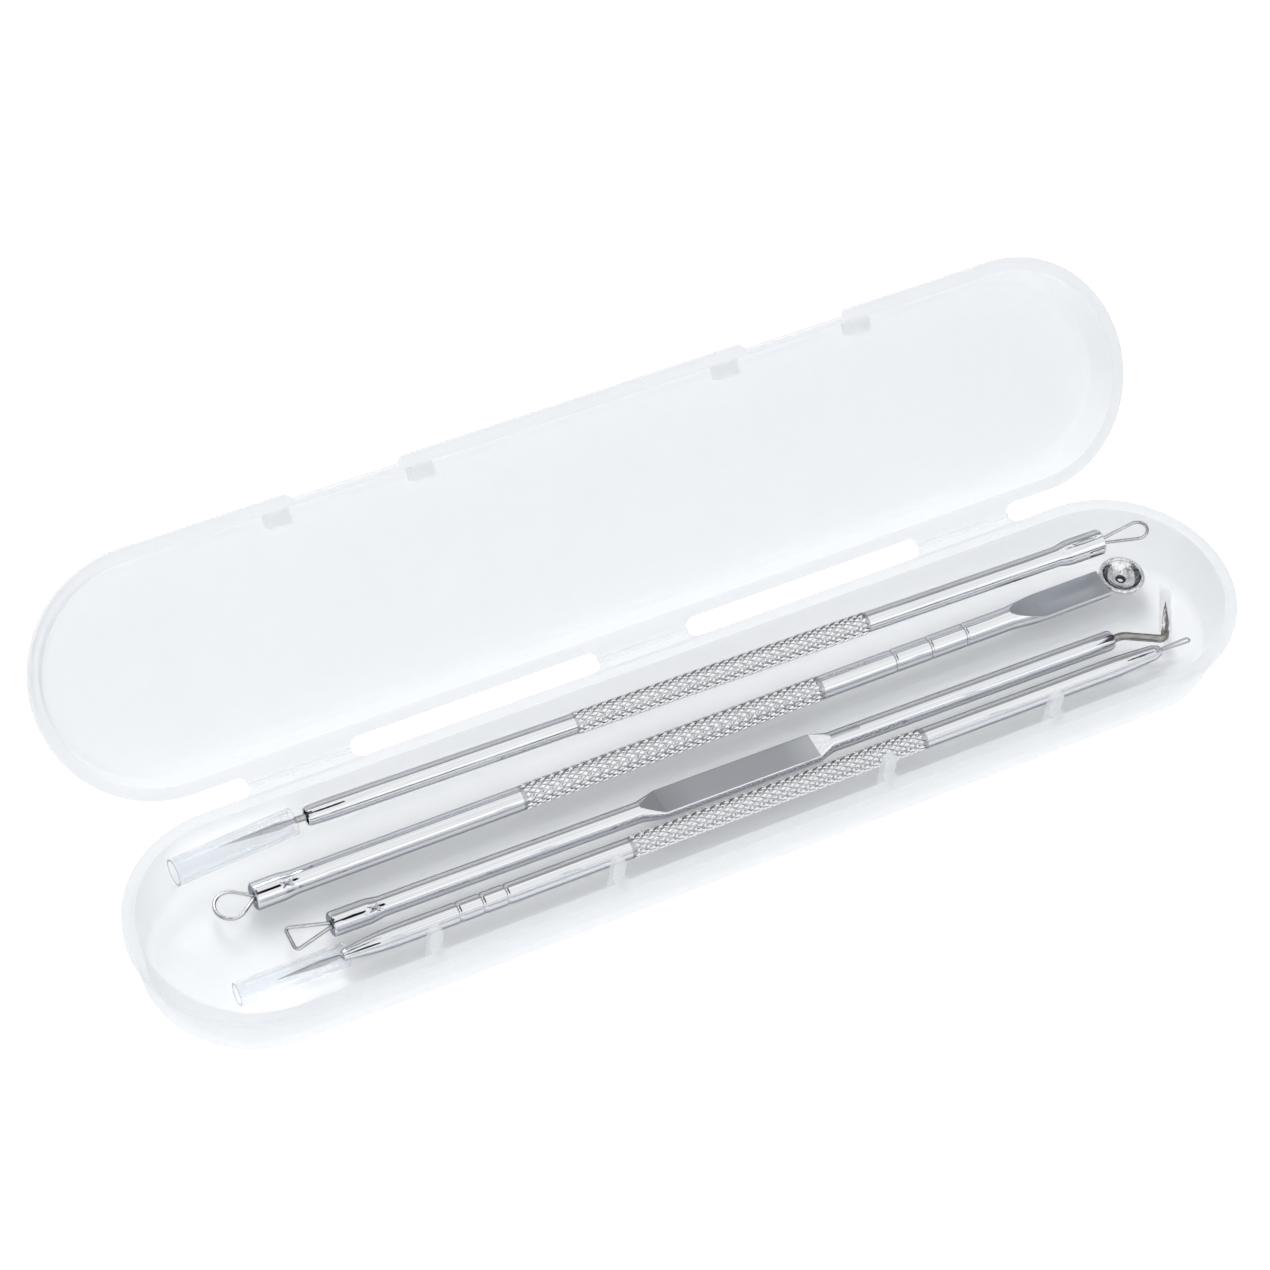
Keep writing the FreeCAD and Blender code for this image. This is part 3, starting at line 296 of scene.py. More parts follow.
@dataclass(frozen=True)
class Station:
    """One cross-section of a shaft: an ellipse that may be cut flat above and below.

    Flat is the height in mm at which it is cut, or none for the whole ellipse.
    """

    place: float
    half_width: float
    half_height: float
    flat: float | None = None

    def between(self, other: "Station", share: float) -> "Station":
        """The section part of the way to another one.

        Args:
            other: the next section.
            share: how far towards it, from 0 to 1.

        Returns:
            The section there.
        """
        def mixed(one: float, two: float) -> float:
            """A value part of the way from one to two."""
            return one + (two - one) * share

        own = self.half_height if self.flat is None else self.flat
        its = other.half_height if other.flat is None else other.flat
        cut = None if self.flat is None and other.flat is None else mixed(own, its)
        return Station(
            mixed(self.place, other.place), mixed(self.half_width, other.half_width),
            mixed(self.half_height, other.half_height), cut)

    def outline(self, arc: int, across: int) -> list[Pair]:
        """Points round the section, from the right side upwards.

        Args:
            arc: steps on each rounded side.
            across: steps on each flat.

        Returns:
            Pairs of sideways and upward places in mm.
        """
        cut = self.half_height if self.flat is None else min(self.flat, self.half_height)
        bend = math.asin(cut / self.half_height)
        edge = self.half_width * math.cos(bend)
        points = []
        for side in (1, -1):
            for step in range(arc):
                angle = -bend + 2 * bend * step / arc
                points.append((side * self.half_width * math.cos(angle),
                               side * self.half_height * math.sin(angle)))
            for step in range(across):
                share = step / across
                points.append((side * (edge - 2 * edge * share), side * cut))
        return points


def rounds(*pairs: Pair, start: float = 0.0) -> list[Station]:
    """Round sections of a shaft, from their places after a start and their radii."""
    return [Station(start + place, radius, radius) for place, radius in pairs]


@dataclass(frozen=True)
class Dent:
    """A rounded hollow pressed into a round shaft.

    Turn is its direction round the shaft in degrees, 90 on top, length and width are half
    sizes in mm, and slant is its angle to the shaft. Line is the stretch of the shaft where a
    line of painted shade lies in it, if any, and spread half of that line's width in degrees.
    """

    place: float
    turn: float
    length: float
    width: float
    depth: float
    slant: float = 0.0
    line: Pair | None = None
    spread: float = 4.0

    def at(self, along: float, angle: float, radius: float) -> float:
        """Depth of the hollow at one point of the surface.

        Args:
            along: distance along the shaft.
            angle: direction round it in radians.
            radius: the shaft's radius there.

        Returns:
            The depth in mm.
        """
        gap = (angle - math.radians(self.turn) + math.pi) % (2 * math.pi) - math.pi
        far, round_it = along - self.place, gap * radius
        lean = math.radians(self.slant)
        first = far * math.cos(lean) + round_it * math.sin(lean)
        second = round_it * math.cos(lean) - far * math.sin(lean)
        reach = (first / self.length) ** 2 + (second / self.width) ** 2
        return self.depth * (1 - reach) ** 2 if reach < 1 else 0.0


@dataclass(frozen=True)
class Zone:
    """A stretch of a shaft whose faces have the finish with that index.

    Only faces that look straight up or down belong to a flat zone. One with a turn keeps to
    that direction round the shaft in degrees, with its spread to either side.
    """

    start: float
    end: float
    index: int
    flat: bool = False
    turn: float | None = None
    spread: float = 0.0

    def holds(self, centre: Vector, normal: Vector) -> bool:
        """Whether a face belongs to the zone.

        Args:
            centre: the face's middle, along the tool in mm.
            normal: the way it faces.

        Returns:
            True where it does.
        """
        if not self.start < centre.x < self.end:
            return False
        if self.turn is None:
            return not self.flat or abs(normal.z) > FLAT_FACING
        gap = (math.degrees(math.atan2(centre.z, centre.y)) - self.turn + 180) % 360 - 180
        return abs(gap) < self.spread


@dataclass(frozen=True)
class Lay:
    """Where a tool lies: its shaft's left end in mm and its yaw in degrees."""

    origin: Place
    yaw: float = 0.0

    def matrix(self) -> Matrix:
        """The tool's place as a matrix for points in mm."""
        turn = Matrix.Rotation(math.radians(self.yaw), 4, "Z")
        return Matrix.Scale(MM, 4) @ Matrix.Translation(self.origin) @ turn


def closed_mesh(name: str, points: Sequence[Place], faces: Sequence[Sequence[int]],
                matrix: Matrix, sharp: float = 30.0) -> Thing:
    """Make a smooth-shaded mesh object at the origin.

    Args:
        name: the piece's name.
        points: its points in mm, along the tool.
        faces: its faces as rows of point numbers.
        matrix: where the points go.
        sharp: angle in degrees past which an edge stays sharp.

    Returns:
        The new object.
    """
    mesh = bpy.data.meshes.new(name)
    mesh.from_pydata([Vector(point) for point in points], [], faces)
    work = bmesh.new()
    work.from_mesh(mesh)
    bmesh.ops.remove_doubles(work, verts=work.verts, dist=MERGE_GAP)
    bmesh.ops.dissolve_degenerate(work, edges=work.edges, dist=SLIVER)
    bmesh.ops.recalc_face_normals(work, faces=work.faces)
    work.to_mesh(mesh)
    work.free()
    mesh.transform(matrix)
    mesh.shade_smooth()
    mesh.set_sharp_from_angle(angle=math.radians(sharp))
    return placed(name, mesh)


def skinned(rings: Sequence[Sequence[Place]],
            closed: bool = False) -> tuple[list[Place], list[list[int]]]:
    """Faces between rings of points.

    Args:
        rings: rings of as many points each.
        closed: whether the last ring meets the first.

    Returns:
        The points and the faces, with a face over each end of an open row of rings.
    """
    count = len(rings[0])
    points = [point for ring in rings for point in ring]
    faces = []
    for number in range(len(rings) - (0 if closed else 1)):
        here, there = number * count, (number + 1) % len(rings) * count
        for step in range(count):
            follow = (step + 1) % count
            faces.append([here + step, here + follow, there + follow, there + step])
    if not closed:
        faces.append(list(range(count))[::-1])
        faces.append([len(points) - count + step for step in range(count)])
    return points, faces


def dress(thing: Thing, finishes: Sequence[Finish], body: Body,
          node: str = "") -> None:
    """Give a piece its finish and its body, and hide the node of the frame that it stands for.

    Args:
        thing: the piece.
        finishes: its finish, and those of its zones after it.
        body: the body it moves with.
        node: the node of the frame that it replaces, if any.
    """
    for finish in finishes[len(thing.data.materials):]:
        thing.data.materials.append(finish.material())
    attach(thing, body.value)
    if node:
        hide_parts(node)
    LOG.info("%s: %d faces on %s", thing.name, len(thing.data.polygons), body.value)


def paint(finish: Finish, *nodes: str) -> None:
    """Give nodes of the frame a better material.

    Args:
        finish: the finish.
        nodes: their names.
    """
    for node in nodes:
        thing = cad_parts[node]
        if not thing.material_slots:
            thing.data.materials.append(finish.material())
        for place in thing.material_slots:
            place.material = finish.material()
        LOG.info("%s: painted %s", node, finish.name)


@dataclass(frozen=True)
class Tube:
    """A clear tube over a lancet, with softly melted ends and painted shade on the left one.

    It runs along its own X axis from its start to its end, also leftwards. Place and yaw, in
    mm and degrees, put that axis into the tool's frame.
    """

    name: str
    node: str
    body: Body
    finishes: tuple[Finish, Finish]
    start: float
    end: float
    outer: float
    inner: float
    place: Place = (0.0, 0.0, 0.0)
    yaw: float = 0.0
    steps: int = 96

    def corner(self, at: float, inward: int, radius: float, side: int) -> list[Pair]:
        """Three points that round one corner, from the end's face to the wall."""
        soft = (self.outer - self.inner) * MELT
        return [(at, radius - side * soft),
                (at + inward * soft * MELT, radius - side * soft * MELT),
                (at + inward * soft, radius)]

    def wall(self) -> list[Pair]:
        """Outline of the tube's wall.

        Returns:
            Pairs of distance along and radius in mm.
        """
        start, end, outer, inner = self.start, self.end, self.outer, self.inner
        spots = max(2, int(abs(end - start)))
        way = 1 if end > start else -1
        outside = [(start + (end - start) * step / spots, outer) for step in range(1, spots)]
        inside = [(end + (start - end) * step / spots, inner) for step in range(1, spots)]
        wall = self.corner(start, way, outer, 1) + outside
        wall += self.corner(end, -way, outer, 1)[::-1] + self.corner(end, -way, inner, -1)
        wall += inside + self.corner(start, way, inner, -1)[::-1]
        return wall[-1:] + wall[:-1]

    def build(self, lay: Lay) -> None:
        """Make and dress the tube.

        Args:
            lay: where its tool lies.
        """
        turn = Matrix.Rotation(math.radians(self.yaw), 4, "Z")
        matrix = lay.matrix() @ (Matrix.Translation(self.place) @ turn)
        wall, rings = self.wall(), []
        for step in range(self.steps):
            angle = 2 * math.pi * step / self.steps
            rings.append([(along, radius * math.cos(angle), radius * math.sin(angle))
                          for along, radius in wall])
        thing = closed_mesh(self.name, *skinned(rings, closed=True), matrix)
        axis = (matrix.to_3x3() @ Vector((1, 0, 0))).normalized()
        for face in thing.data.polygons:
            # painted shade: the faces of the left cut end take the darker second finish
            face.material_index = int(face.normal.dot(axis) < -END_FACING)
        dress(thing, self.finishes, self.body, self.node)


@dataclass
class Shaft:
    """A lofted shaft with dents, finish zones and bored ends.

    Its sections are close together on the fine stretches. Each bore is the radius and depth
    of the hole in one end. Arc and across are the steps on each rounded side and each flat,
    and line_index is the finish of the painted-shade lines in the dents. Sizes are in mm.
    """

    name: str
    lay: Lay
    stations: list[Station]
    fine: Sequence[Pair]
    bore: Pair
    far_bore: Pair | None
    dents: Sequence[Dent]
    zones: Sequence[Zone]
    line_index: int = 2
    arc: int = 72
    across: int = 8
    fine_step: float = 0.1
    wide_step: float = 4.0
    bevel: float = 0.06
    sharp: float = 28.0

    def sections(self) -> list[Station]:
        """All the cross-sections.

        Returns:
            The sections, in order.
        """
        full = [self.stations[0]]
        for one, two in zip(self.stations, self.stations[1:]):
            busy = any(low < two.place and one.place < high for low, high in self.fine)
            step = self.fine_step if busy else self.wide_step
            pieces = max(1, round((two.place - one.place) / step))
            full += [one.between(two, part / pieces) for part in range(1, pieces + 1)]
        return full

    def ring(self, section: Station) -> list[Place]:
        """The points of one cross-section, with the dents taken off.

        Args:
            section: the cross-section.

        Returns:
            Its points in mm.
        """
        points = []
        for across, up in section.outline(self.arc, self.across):
            reach = math.hypot(across, up)
            angle = math.atan2(up, across)
            sunk = sum(dent.at(section.place, angle, reach) for dent in self.dents)
            share = (reach - sunk) / reach
            points.append((section.place, across * share, up * share))
        return points

    def hole(self, at: float, radius: float, depth: float, way: int) -> list[list[Place]]:
        """Rings of a hole's wall, from its mouth inwards.

        Args:
            at: where the mouth is along the shaft.
            radius: the hole's radius.
            depth: its depth.
            way: 1 where it goes towards the right, -1 towards the left.

        Returns:
            The rings.
        """
        steps = ((0.0, radius + self.bevel), (self.bevel, radius), (depth, radius))
        return [[(at + way * along, across, up) for across, up
                 in Station(0, size, size).outline(self.arc, self.across)]
                for along, size in steps]

    def build(self) -> Thing:
        """Make the shaft.

        Returns:
            The new object.
        """
        rings = self.hole(self.stations[0].place, *self.bore, 1)[::-1]
        rings += [self.ring(section) for section in self.sections()]
        if self.far_bore:
            rings += self.hole(self.stations[-1].place, *self.far_bore, -1)
        matrix = self.lay.matrix()
        thing = closed_mesh(self.name, *skinned(rings), matrix, self.sharp)
        lines = [Zone(*dent.line, self.line_index, turn=dent.turn, spread=dent.spread)
                 for dent in self.dents if dent.line]
        back = matrix.inverted()
        for face in thing.data.polygons:
            centre = back @ face.center
            for zone in (*self.zones, *lines):
                if zone.holds(centre, face.normal):
                    face.material_index = zone.index
        return thing


@dataclass(frozen=True)
class PinchedEnd:
    """The wider left end of a shaft, pressed shut on the feet of a wire loop.

    Lip are the radii of its rounded mouth, neck is the radius where it narrows, and reach the
    place where the close sections end.
    """

    radius: float
    length: float
    lip: Pair
    neck: float
    reach: float
    seam: Dent
    bore: Pair = (0.56, 2.4)

    def sections(self, shaft: float) -> list[Station]:
        """Its sections, from the mouth to a shaft of that radius."""
        end = self.length
        return rounds(
            (0, self.lip[0]), (0.12, self.lip[1]), (0.3, self.radius), (end - 0.6, self.radius),
            (end + 0.1, self.neck), (end + 1.1, shaft), (self.reach, shaft))

    def dents(self) -> list[Dent]:
        """Its hollows.

        Returns:
            The crossed press marks behind it, its seam and the short seam behind the marks.
        """
        end = self.length
        marks = [Dent(end, turn, 1.2, 0.24, 0.3, slant)
                 for turn in (118, 238, 358) for slant in (30, -30)]
        short = Dent(
            end + 0.95, self.seam.turn - 2, 0.5, 0.16, 0.3, line=(end + 0.65, end + 1.25))
        return [*marks, self.seam, short]


@dataclass
class Knurl:
    """The raised diamonds of a knurled grip, laid round a shaft by Geometry Nodes.

    Around is how many go round the shaft, rise their height and pitch their length in mm.
    Levels are the sizes of a diamond's outlines and their heights, as shares of the rise above
    the shaft and in mm below it. Peak is its tip's share of the rise, root its depth in mm.
    """

    name: str
    lay: Lay
    start: float
    end: float
    radius: float
    around: int
    rise: float = 0.15
    pitch: float = 1.25
    levels: tuple[Pair, ...] = ((0.97, -0.035), (0.6, 0.66), (0.26, 1.0))
    peak: float = 1.04
    root: float = 0.2
    sharp: float = 16.0

    def diamond(self) -> Thing:
        """One closed diamond on top of the shaft, sunk a little into it.

        Returns:
            A plain object, to be laid round the shaft.
        """
        half, count = math.pi / self.around, len(DIAMOND)
        points: list[Place] = []
        for size, lift in self.levels:
            reach = self.radius + (lift * self.rise if lift > 0 else lift)
            for along, round_it in DIAMOND:
                angle = math.pi / 2 + half * round_it * size
                points.append((along * size * self.pitch / 2, reach * math.cos(angle),
                               reach * math.sin(angle)))
        points.append((0.0, 0.0, self.radius + self.rise * self.peak))
        points.append((0.0, 0.0, self.radius - self.root))
        faces = []
        for step in range(count):
            follow = (step + 1) % count
            for low in (0, count):
                high = low + count
                faces.append([low + step, low + follow, high + follow, high + step])
            faces.append([2 * count + step, 2 * count + follow, 3 * count])
            faces.append([follow, step, 3 * count + 1])
        return closed_mesh(self.name + "_diamond", points, faces, Matrix.Identity(4), self.sharp)

    def tree(self) -> bpy.types.NodeTree:
        """The Geometry Nodes tree that lays the diamonds in staggered rows.

        Returns:
            The tree.
        """
        tree = bpy.data.node_groups.new(self.name + "_rows", "GeometryNodeTree")
        graph = Graph(tree)
        for name, kind in (
                ("Start", "Float"), ("Row step", "Float"), ("Rows", "Int"), ("Around", "Int"),
                ("Yaw", "Float"), ("Shaft end", "Vector"), ("Diamond", "Object"),
                ("Finish", "Material")):
            tree.interface.new_socket(name, in_out="INPUT", socket_type="NodeSocket" + kind)
        tree.interface.new_socket("Geometry", in_out="OUTPUT", socket_type="NodeSocketGeometry")
        given = graph.add("NodeGroupInput").outputs
        index = graph.out("GeometryNodeInputIndex")
        row = graph.math("FLOOR", graph.math("DIVIDE", index, given["Around"]))
        column = graph.math("MODULO", index, given["Around"])
        stagger = graph.math("MULTIPLY", graph.math("MODULO", row, 2.0), 0.5)
        part = graph.math("DIVIDE", graph.math("ADD", column, stagger), given["Around"])
        turn = graph.math("MULTIPLY", part, 2 * math.pi)
        along = graph.math("MULTIPLY_ADD", row, given["Row step"], given["Start"])
        points = graph.out("GeometryNodePoints", {
            "Count": graph.math("MULTIPLY", given["Rows"], given["Around"]),
            "Position": graph.out("ShaderNodeCombineXYZ", {"X": along})})
        shape = graph.add("GeometryNodeObjectInfo", {"Object": given["Diamond"]})
        laid = graph.out("GeometryNodeInstanceOnPoints", {
            "Points": points, "Instance": shape.outputs["Geometry"],
            "Rotation": graph.out("ShaderNodeCombineXYZ", {"X": turn})})
        moved = graph.out("GeometryNodeTransform", {
            "Geometry": graph.out("GeometryNodeRealizeInstances", {"Geometry": laid}),
            "Rotation": graph.out("ShaderNodeCombineXYZ", {"Z": given["Yaw"]}),
            "Translation": given["Shaft end"]})
        finished = graph.out("GeometryNodeSetMaterial", {
            "Geometry": moved, "Material": given["Finish"]})
        graph.add("NodeGroupOutput", {"Geometry": finished})
        return tree

    def build(self, finish: Finish) -> Thing:
        """Run the tree and keep its result as one plain mesh.

        Args:
            finish: the knurl's finish.

        Returns:
            The new object.
        """
        step, span, diamond = self.pitch / 2, self.end - self.start, self.diamond()
        rows = int(span / step) - 1
        values = {
            "Start": self.start + (span - (rows - 1) * step) / 2, "Row step": step,
            "Rows": rows, "Around": self.around, "Yaw": math.radians(self.lay.yaw),
            "Shaft end": Vector(self.lay.origin), "Diamond": diamond,
            "Finish": finish.material()}
        holder = placed(self.name + "_holder", bpy.data.meshes.new(self.name + "_holder"))
        modifier = holder.modifiers.new("rows", "NODES")
        modifier.node_group = self.tree()
        for item in modifier.node_group.interface.items_tree:
            if item.in_out == "INPUT":
                modifier[item.identifier] = values[item.name]
        bpy.context.view_layer.update()
        ready = holder.evaluated_get(bpy.context.evaluated_depsgraph_get())
        mesh = bpy.data.meshes.new_from_object(ready)
        mesh.name = self.name
        mesh.transform(Matrix.Scale(MM, 4))
        holder.modifiers.remove(modifier)
        for spare in (holder, diamond):
            bpy.data.objects.remove(spare)
        return placed(self.name, mesh)


@dataclass
class HingedCase:
    """The tray, the lid and the thin webs between them."""

    halves: tuple[str, ...] = ("base_tray", "lid_shell")
    webs: tuple[str, ...] = ("hinge_web_left", "hinge_web_centre", "hinge_web_right")

    def build(self) -> None:
        """Give the case's nodes their plastic."""
        paint(CASE_FINISH, *self.halves)
        paint(HINGE_FINISH, *self.webs)


@dataclass
class Tool:
    """What the four double-ended tools share.

    Kind starts the names of its pieces, node is what its shaft replaces, zones are the
    finishes of the shaft's zones, knurl is where the knurl starts and ends along the shaft,
    and around how many diamonds go round it.
    """

    kind: str
    body: Body
    node: str
    zones: tuple[Finish, ...]
    lay: Lay
    length: float
    radius: float = 1.25
    knurl: Pair = (0.0, 0.0)
    around: int = 12
    rings: tuple[float, ...] = ()

    def knurl_ends(self) -> list[Station]:
        """Sections at both ends of the knurl, where the finish changes."""
        return rounds(*((place, self.radius) for place in self.knurl))

    def grooves(self) -> list[Station]:
        """Sections of the ring grooves."""
        return rounds(*((place + along, self.radius - depth) for place in self.rings
                        for along, depth in RING_GROOVE))

    def dress_shaft(self, thing: Thing) -> None:
        """Dress the shaft in its own chrome, with its fine lines along it."""
        chrome = replace(SHAFT_FINISH, name=self.kind + "_shaft_chrome", turn=self.lay.yaw)
        dress(thing, [chrome, *self.zones], self.body, self.node)

    def add_knurl(self) -> None:
        """Make and dress the knurl."""
        yaw = self.lay.yaw
        finish = replace(KNURL_FINISH, name="knurled_chrome_%d" % round(-100 * yaw), turn=yaw)
        name = self.kind + "_tool_knurl"
        grip = Knurl(name, self.lay, *self.knurl, self.radius, self.around)
        dress(grip.build(finish), [finish], self.body)


@dataclass
class NeedleTool(Tool):
    """The farthest tool: straight lancet under a clear cover, knurl, long wire loop.

    Mouth, flare and lip are places and radii of sections, from the shaft's left end, from the
    flare's start and from the right end.
    """

    kind: str = "needle"
    body: Body = Body.NEEDLE
    node: str = "needle_loop_shaft"
    zones: tuple[Finish, ...] = (KNURL_GROOVE_SHADE_FINISH, SLIT_AND_HOLE_SHADE_FINISH)
    lay: Lay = Lay((-46.12, 10.6945, 7.4), -0.95)
    length: float = 106.7
    knurl: Pair = (34.04, 73.52)
    mouth: tuple[Pair, ...] = ((0, 1.0), (0.12, 1.1), (0.6, 1.18), (2.6, 1.25), (5.5, 1.25))
    flare: tuple[Pair, ...] = ((0, 1.25), (0.5, 1.36), (1.4, 1.56), (2.2, 1.6))
    lip: tuple[Pair, ...] = ((-0.1, 1.6), (0, 1.52))
    flare_length: float = 6.3
    pinch_shift: float = 0.6
    pinch_turns: Place = (100, 220, -20)
    bore: Pair = (0.85, 8.0)
    far_bore: Pair = (0.5, 2.4)
    cover: Tube = Tube(
        "needle_clear_cover", "lancet_cover", Body.NEEDLE_COVER, (COVER_FINISH, CUT_END_SHADE_FINISH),
        0, -15.2, 1.7, 1.4, (-1.6, 0, 0), 5.0)

    def shaft(self) -> Thing:
        """The shaft, bored on the left and flared on the right.

        Returns:
            The new object.
        """
        end, start = self.length, self.length - self.flare_length
        stations = rounds(*self.mouth) + self.knurl_ends()
        stations += rounds(*self.flare, start=start) + rounds(*self.lip, start=end)
        middle = start + self.flare_length / 2 + self.pinch_shift
        dents = [Dent(middle, turn, 3.4, 0.3, 0.4) for turn in self.pinch_turns]
        dents.append(Dent(2.6, 112, 2.6, 0.13, 0.2, line=(0.1, 4.6), spread=3.5))
        dents.append(Dent(
            end - 1.2, 160, 1.4, 0.14, 0.3, line=(end - 2.4, end - 0.15), spread=3.5))
        return Shaft(
            "needle_tool_shaft", self.lay, stations, ((0, self.mouth[-1][0]), (start, end)),
            self.bore, self.far_bore, dents, [Zone(*self.knurl, 1)]).build()

    def build(self) -> None:
        """Make and dress the tool's pieces."""
        self.dress_shaft(self.shaft())
        self.add_knurl()
        self.cover.build(self.lay)
        paint(BLADE_FINISH, "straight_lancet")
        paint(COLLET_FINISH, "lancet_collet")
        paint(WIRE_FINISH, "long_wire_loop")


@dataclass
class SpoonTool(Tool):
    """The second tool: round wire loop, knurl, three rings, flat neck and cup.

    Pressed is the neck's half width and the half height and cut of its section. The cup is
    drawn from its middle: under_edge, bead and inner_edge lie inside its radius, the drops
    below its top. Its darker crescent, a painted dark reflection, lies along rim_line.
    """

    kind: str = "spoon"
    body: Body = Body.SPOON
    node: str = "spoon_shaft"
    zones: tuple[Finish, ...] = (KNURL_GROOVE_SHADE_FINISH, PRESSED_FINISH, SLIT_AND_HOLE_SHADE_FINISH)
    lay: Lay = Lay((-54.8, 5.8014, 2.9))
    length: float = 117.6
    radius: float = 1.45
    knurl: Pair = (33.87, 74.32)
    around: int = 14
    rings: Place = (84.52, 89.52, 94.52)
    ring_lead: float = 4.0
    end: PinchedEnd = PinchedEnd(
        1.65, 4.0, (1.5, 1.62), 1.56, 6.2,
        Dent(1.9, 115, 1.7, 0.17, 0.42, line=(0.15, 3.1)))
    neck_start: float = 101.0
    neck_ramp: float = 4.4
    neck_end: float = 2.75
    pressed: Place = (1.9, 1.7, 0.45)
    cup_radius: float = 2.9
    cup_depth: float = 1.35
    cup_wall: float = 0.4
    cup_steps: int = 72
    cup_sharp: float = 40.0
    under_edge: float = 0.62
    under_steps: int = 14
    bead: float = 0.3
    bead_drop: float = 0.22
    bead_start: float = 200.0
    bead_turn: float = 245.0
    bead_steps: int = 12
    inner_edge: float = 0.12
    inner_drop: float = 0.42
    inner_steps: int = 36
    hole_radius: float = 0.4
    hole_edge: float = 0.24
    rim_line: float = 0.82
    rim_line_half: float = 0.8
    rim_line_cut: float = 0.55
    rim_line_turn: float = 150.0

    def shaft(self) -> Thing:
        """The shaft with its pinched end, its rings and its pressed neck.

        Returns:
            The new object.
        """
        start, ramp = self.neck_start, self.neck_start + self.neck_ramp
        stations = self.end.sections(self.radius) + self.knurl_ends()
        stations += rounds((self.rings[0] - self.ring_lead, self.radius)) + self.grooves()
        stations += [Station(start, self.radius, self.radius, self.radius),
                     Station(ramp, *self.pressed),
                     Station(self.length - self.neck_end, *self.pressed)]
        return Shaft(
            "spoon_tool_shaft", self.lay, stations, ((0, self.end.reach), (start, ramp)),
            self.end.bore, None, self.end.dents(),
            [Zone(*self.knurl, 1), Zone(start, self.length, 2, True)], 3).build()

    def cup_outline(self) -> list[Pair]:
        """Half of the cup's section: underside, rolled rim and inside.

        Returns:
            Pairs of distance from its middle and height, in mm.
        """
        rim, depth, hole, top = self.cup_radius, self.cup_depth, self.hole_radius, self.pressed[2]
        ball = (rim * rim + depth * depth) / (2 * depth)
        middle = top + ball - depth
        outline = []
        for step in range(self.under_steps + 1):
            reach = hole + (rim - self.under_edge - hole) * step / self.under_steps
            height = middle - math.sqrt((ball - self.cup_wall) ** 2 - reach ** 2)
            outline.append((reach, height))
        for step in range(self.bead_steps + 1):
            angle = math.radians(self.bead_start - step * self.bead_turn / self.bead_steps)
            outline.append((rim - self.bead + self.bead * math.cos(angle),
                            top - self.bead_drop + self.bead * math.sin(angle)))
        edge = rim - self.inner_edge
        for step in range(self.inner_steps + 1):
            reach = edge + (hole - edge) * step / self.inner_steps
            height = middle - math.sqrt(ball ** 2 - reach ** 2)
            outline.append((reach, min(height, top - self.inner_drop)))
        return outline

    def cup(self) -> Thing:
        """The round cup with its raised rim and the hole through its bottom.

        Returns:
            The new object.
        """
        rings, matrix, outline = [], self.lay.matrix(), self.cup_outline()
        for step in range(self.cup_steps):
            angle = 2 * math.pi * step / self.cup_steps
            rings.append([(self.length + reach * math.cos(angle), reach * math.sin(angle), up)
                          for reach, up in outline])
        thing = closed_mesh(
            "spoon_tool_cup", *skinned(rings, closed=True), matrix, self.cup_sharp)
        back = matrix.inverted()
        for face in thing.data.polygons:
            centre = back @ face.center
            along, across = centre.x - self.length, centre.y
            reach = math.hypot(along, across)
            turn = math.atan2(across, along) - math.radians(self.rim_line_turn)
            half = self.rim_line_half * max(0.0, abs(math.cos(turn)) - self.rim_line_cut)
            if face.normal.z > 0 and abs(reach - self.cup_radius + self.rim_line) < half:
                # painted dark reflection: the crescent along rim_line
                face.material_index = 1
            elif reach < self.hole_radius + self.hole_edge:
                # painted shade in and around the cup's hole
                face.material_index = 2
        return thing

    def build(self) -> None:
        """Make and dress the tool's pieces."""
        self.dress_shaft(self.shaft())
        dress(self.cup(), [CUP_CHROME_AND_REFLECTION_FINISH, CRESCENT_REFLECTION_FINISH, SLIT_AND_HOLE_SHADE_FINISH], self.body)
        self.add_knurl()
        paint(WIRE_FINISH, "round_wire_loop")


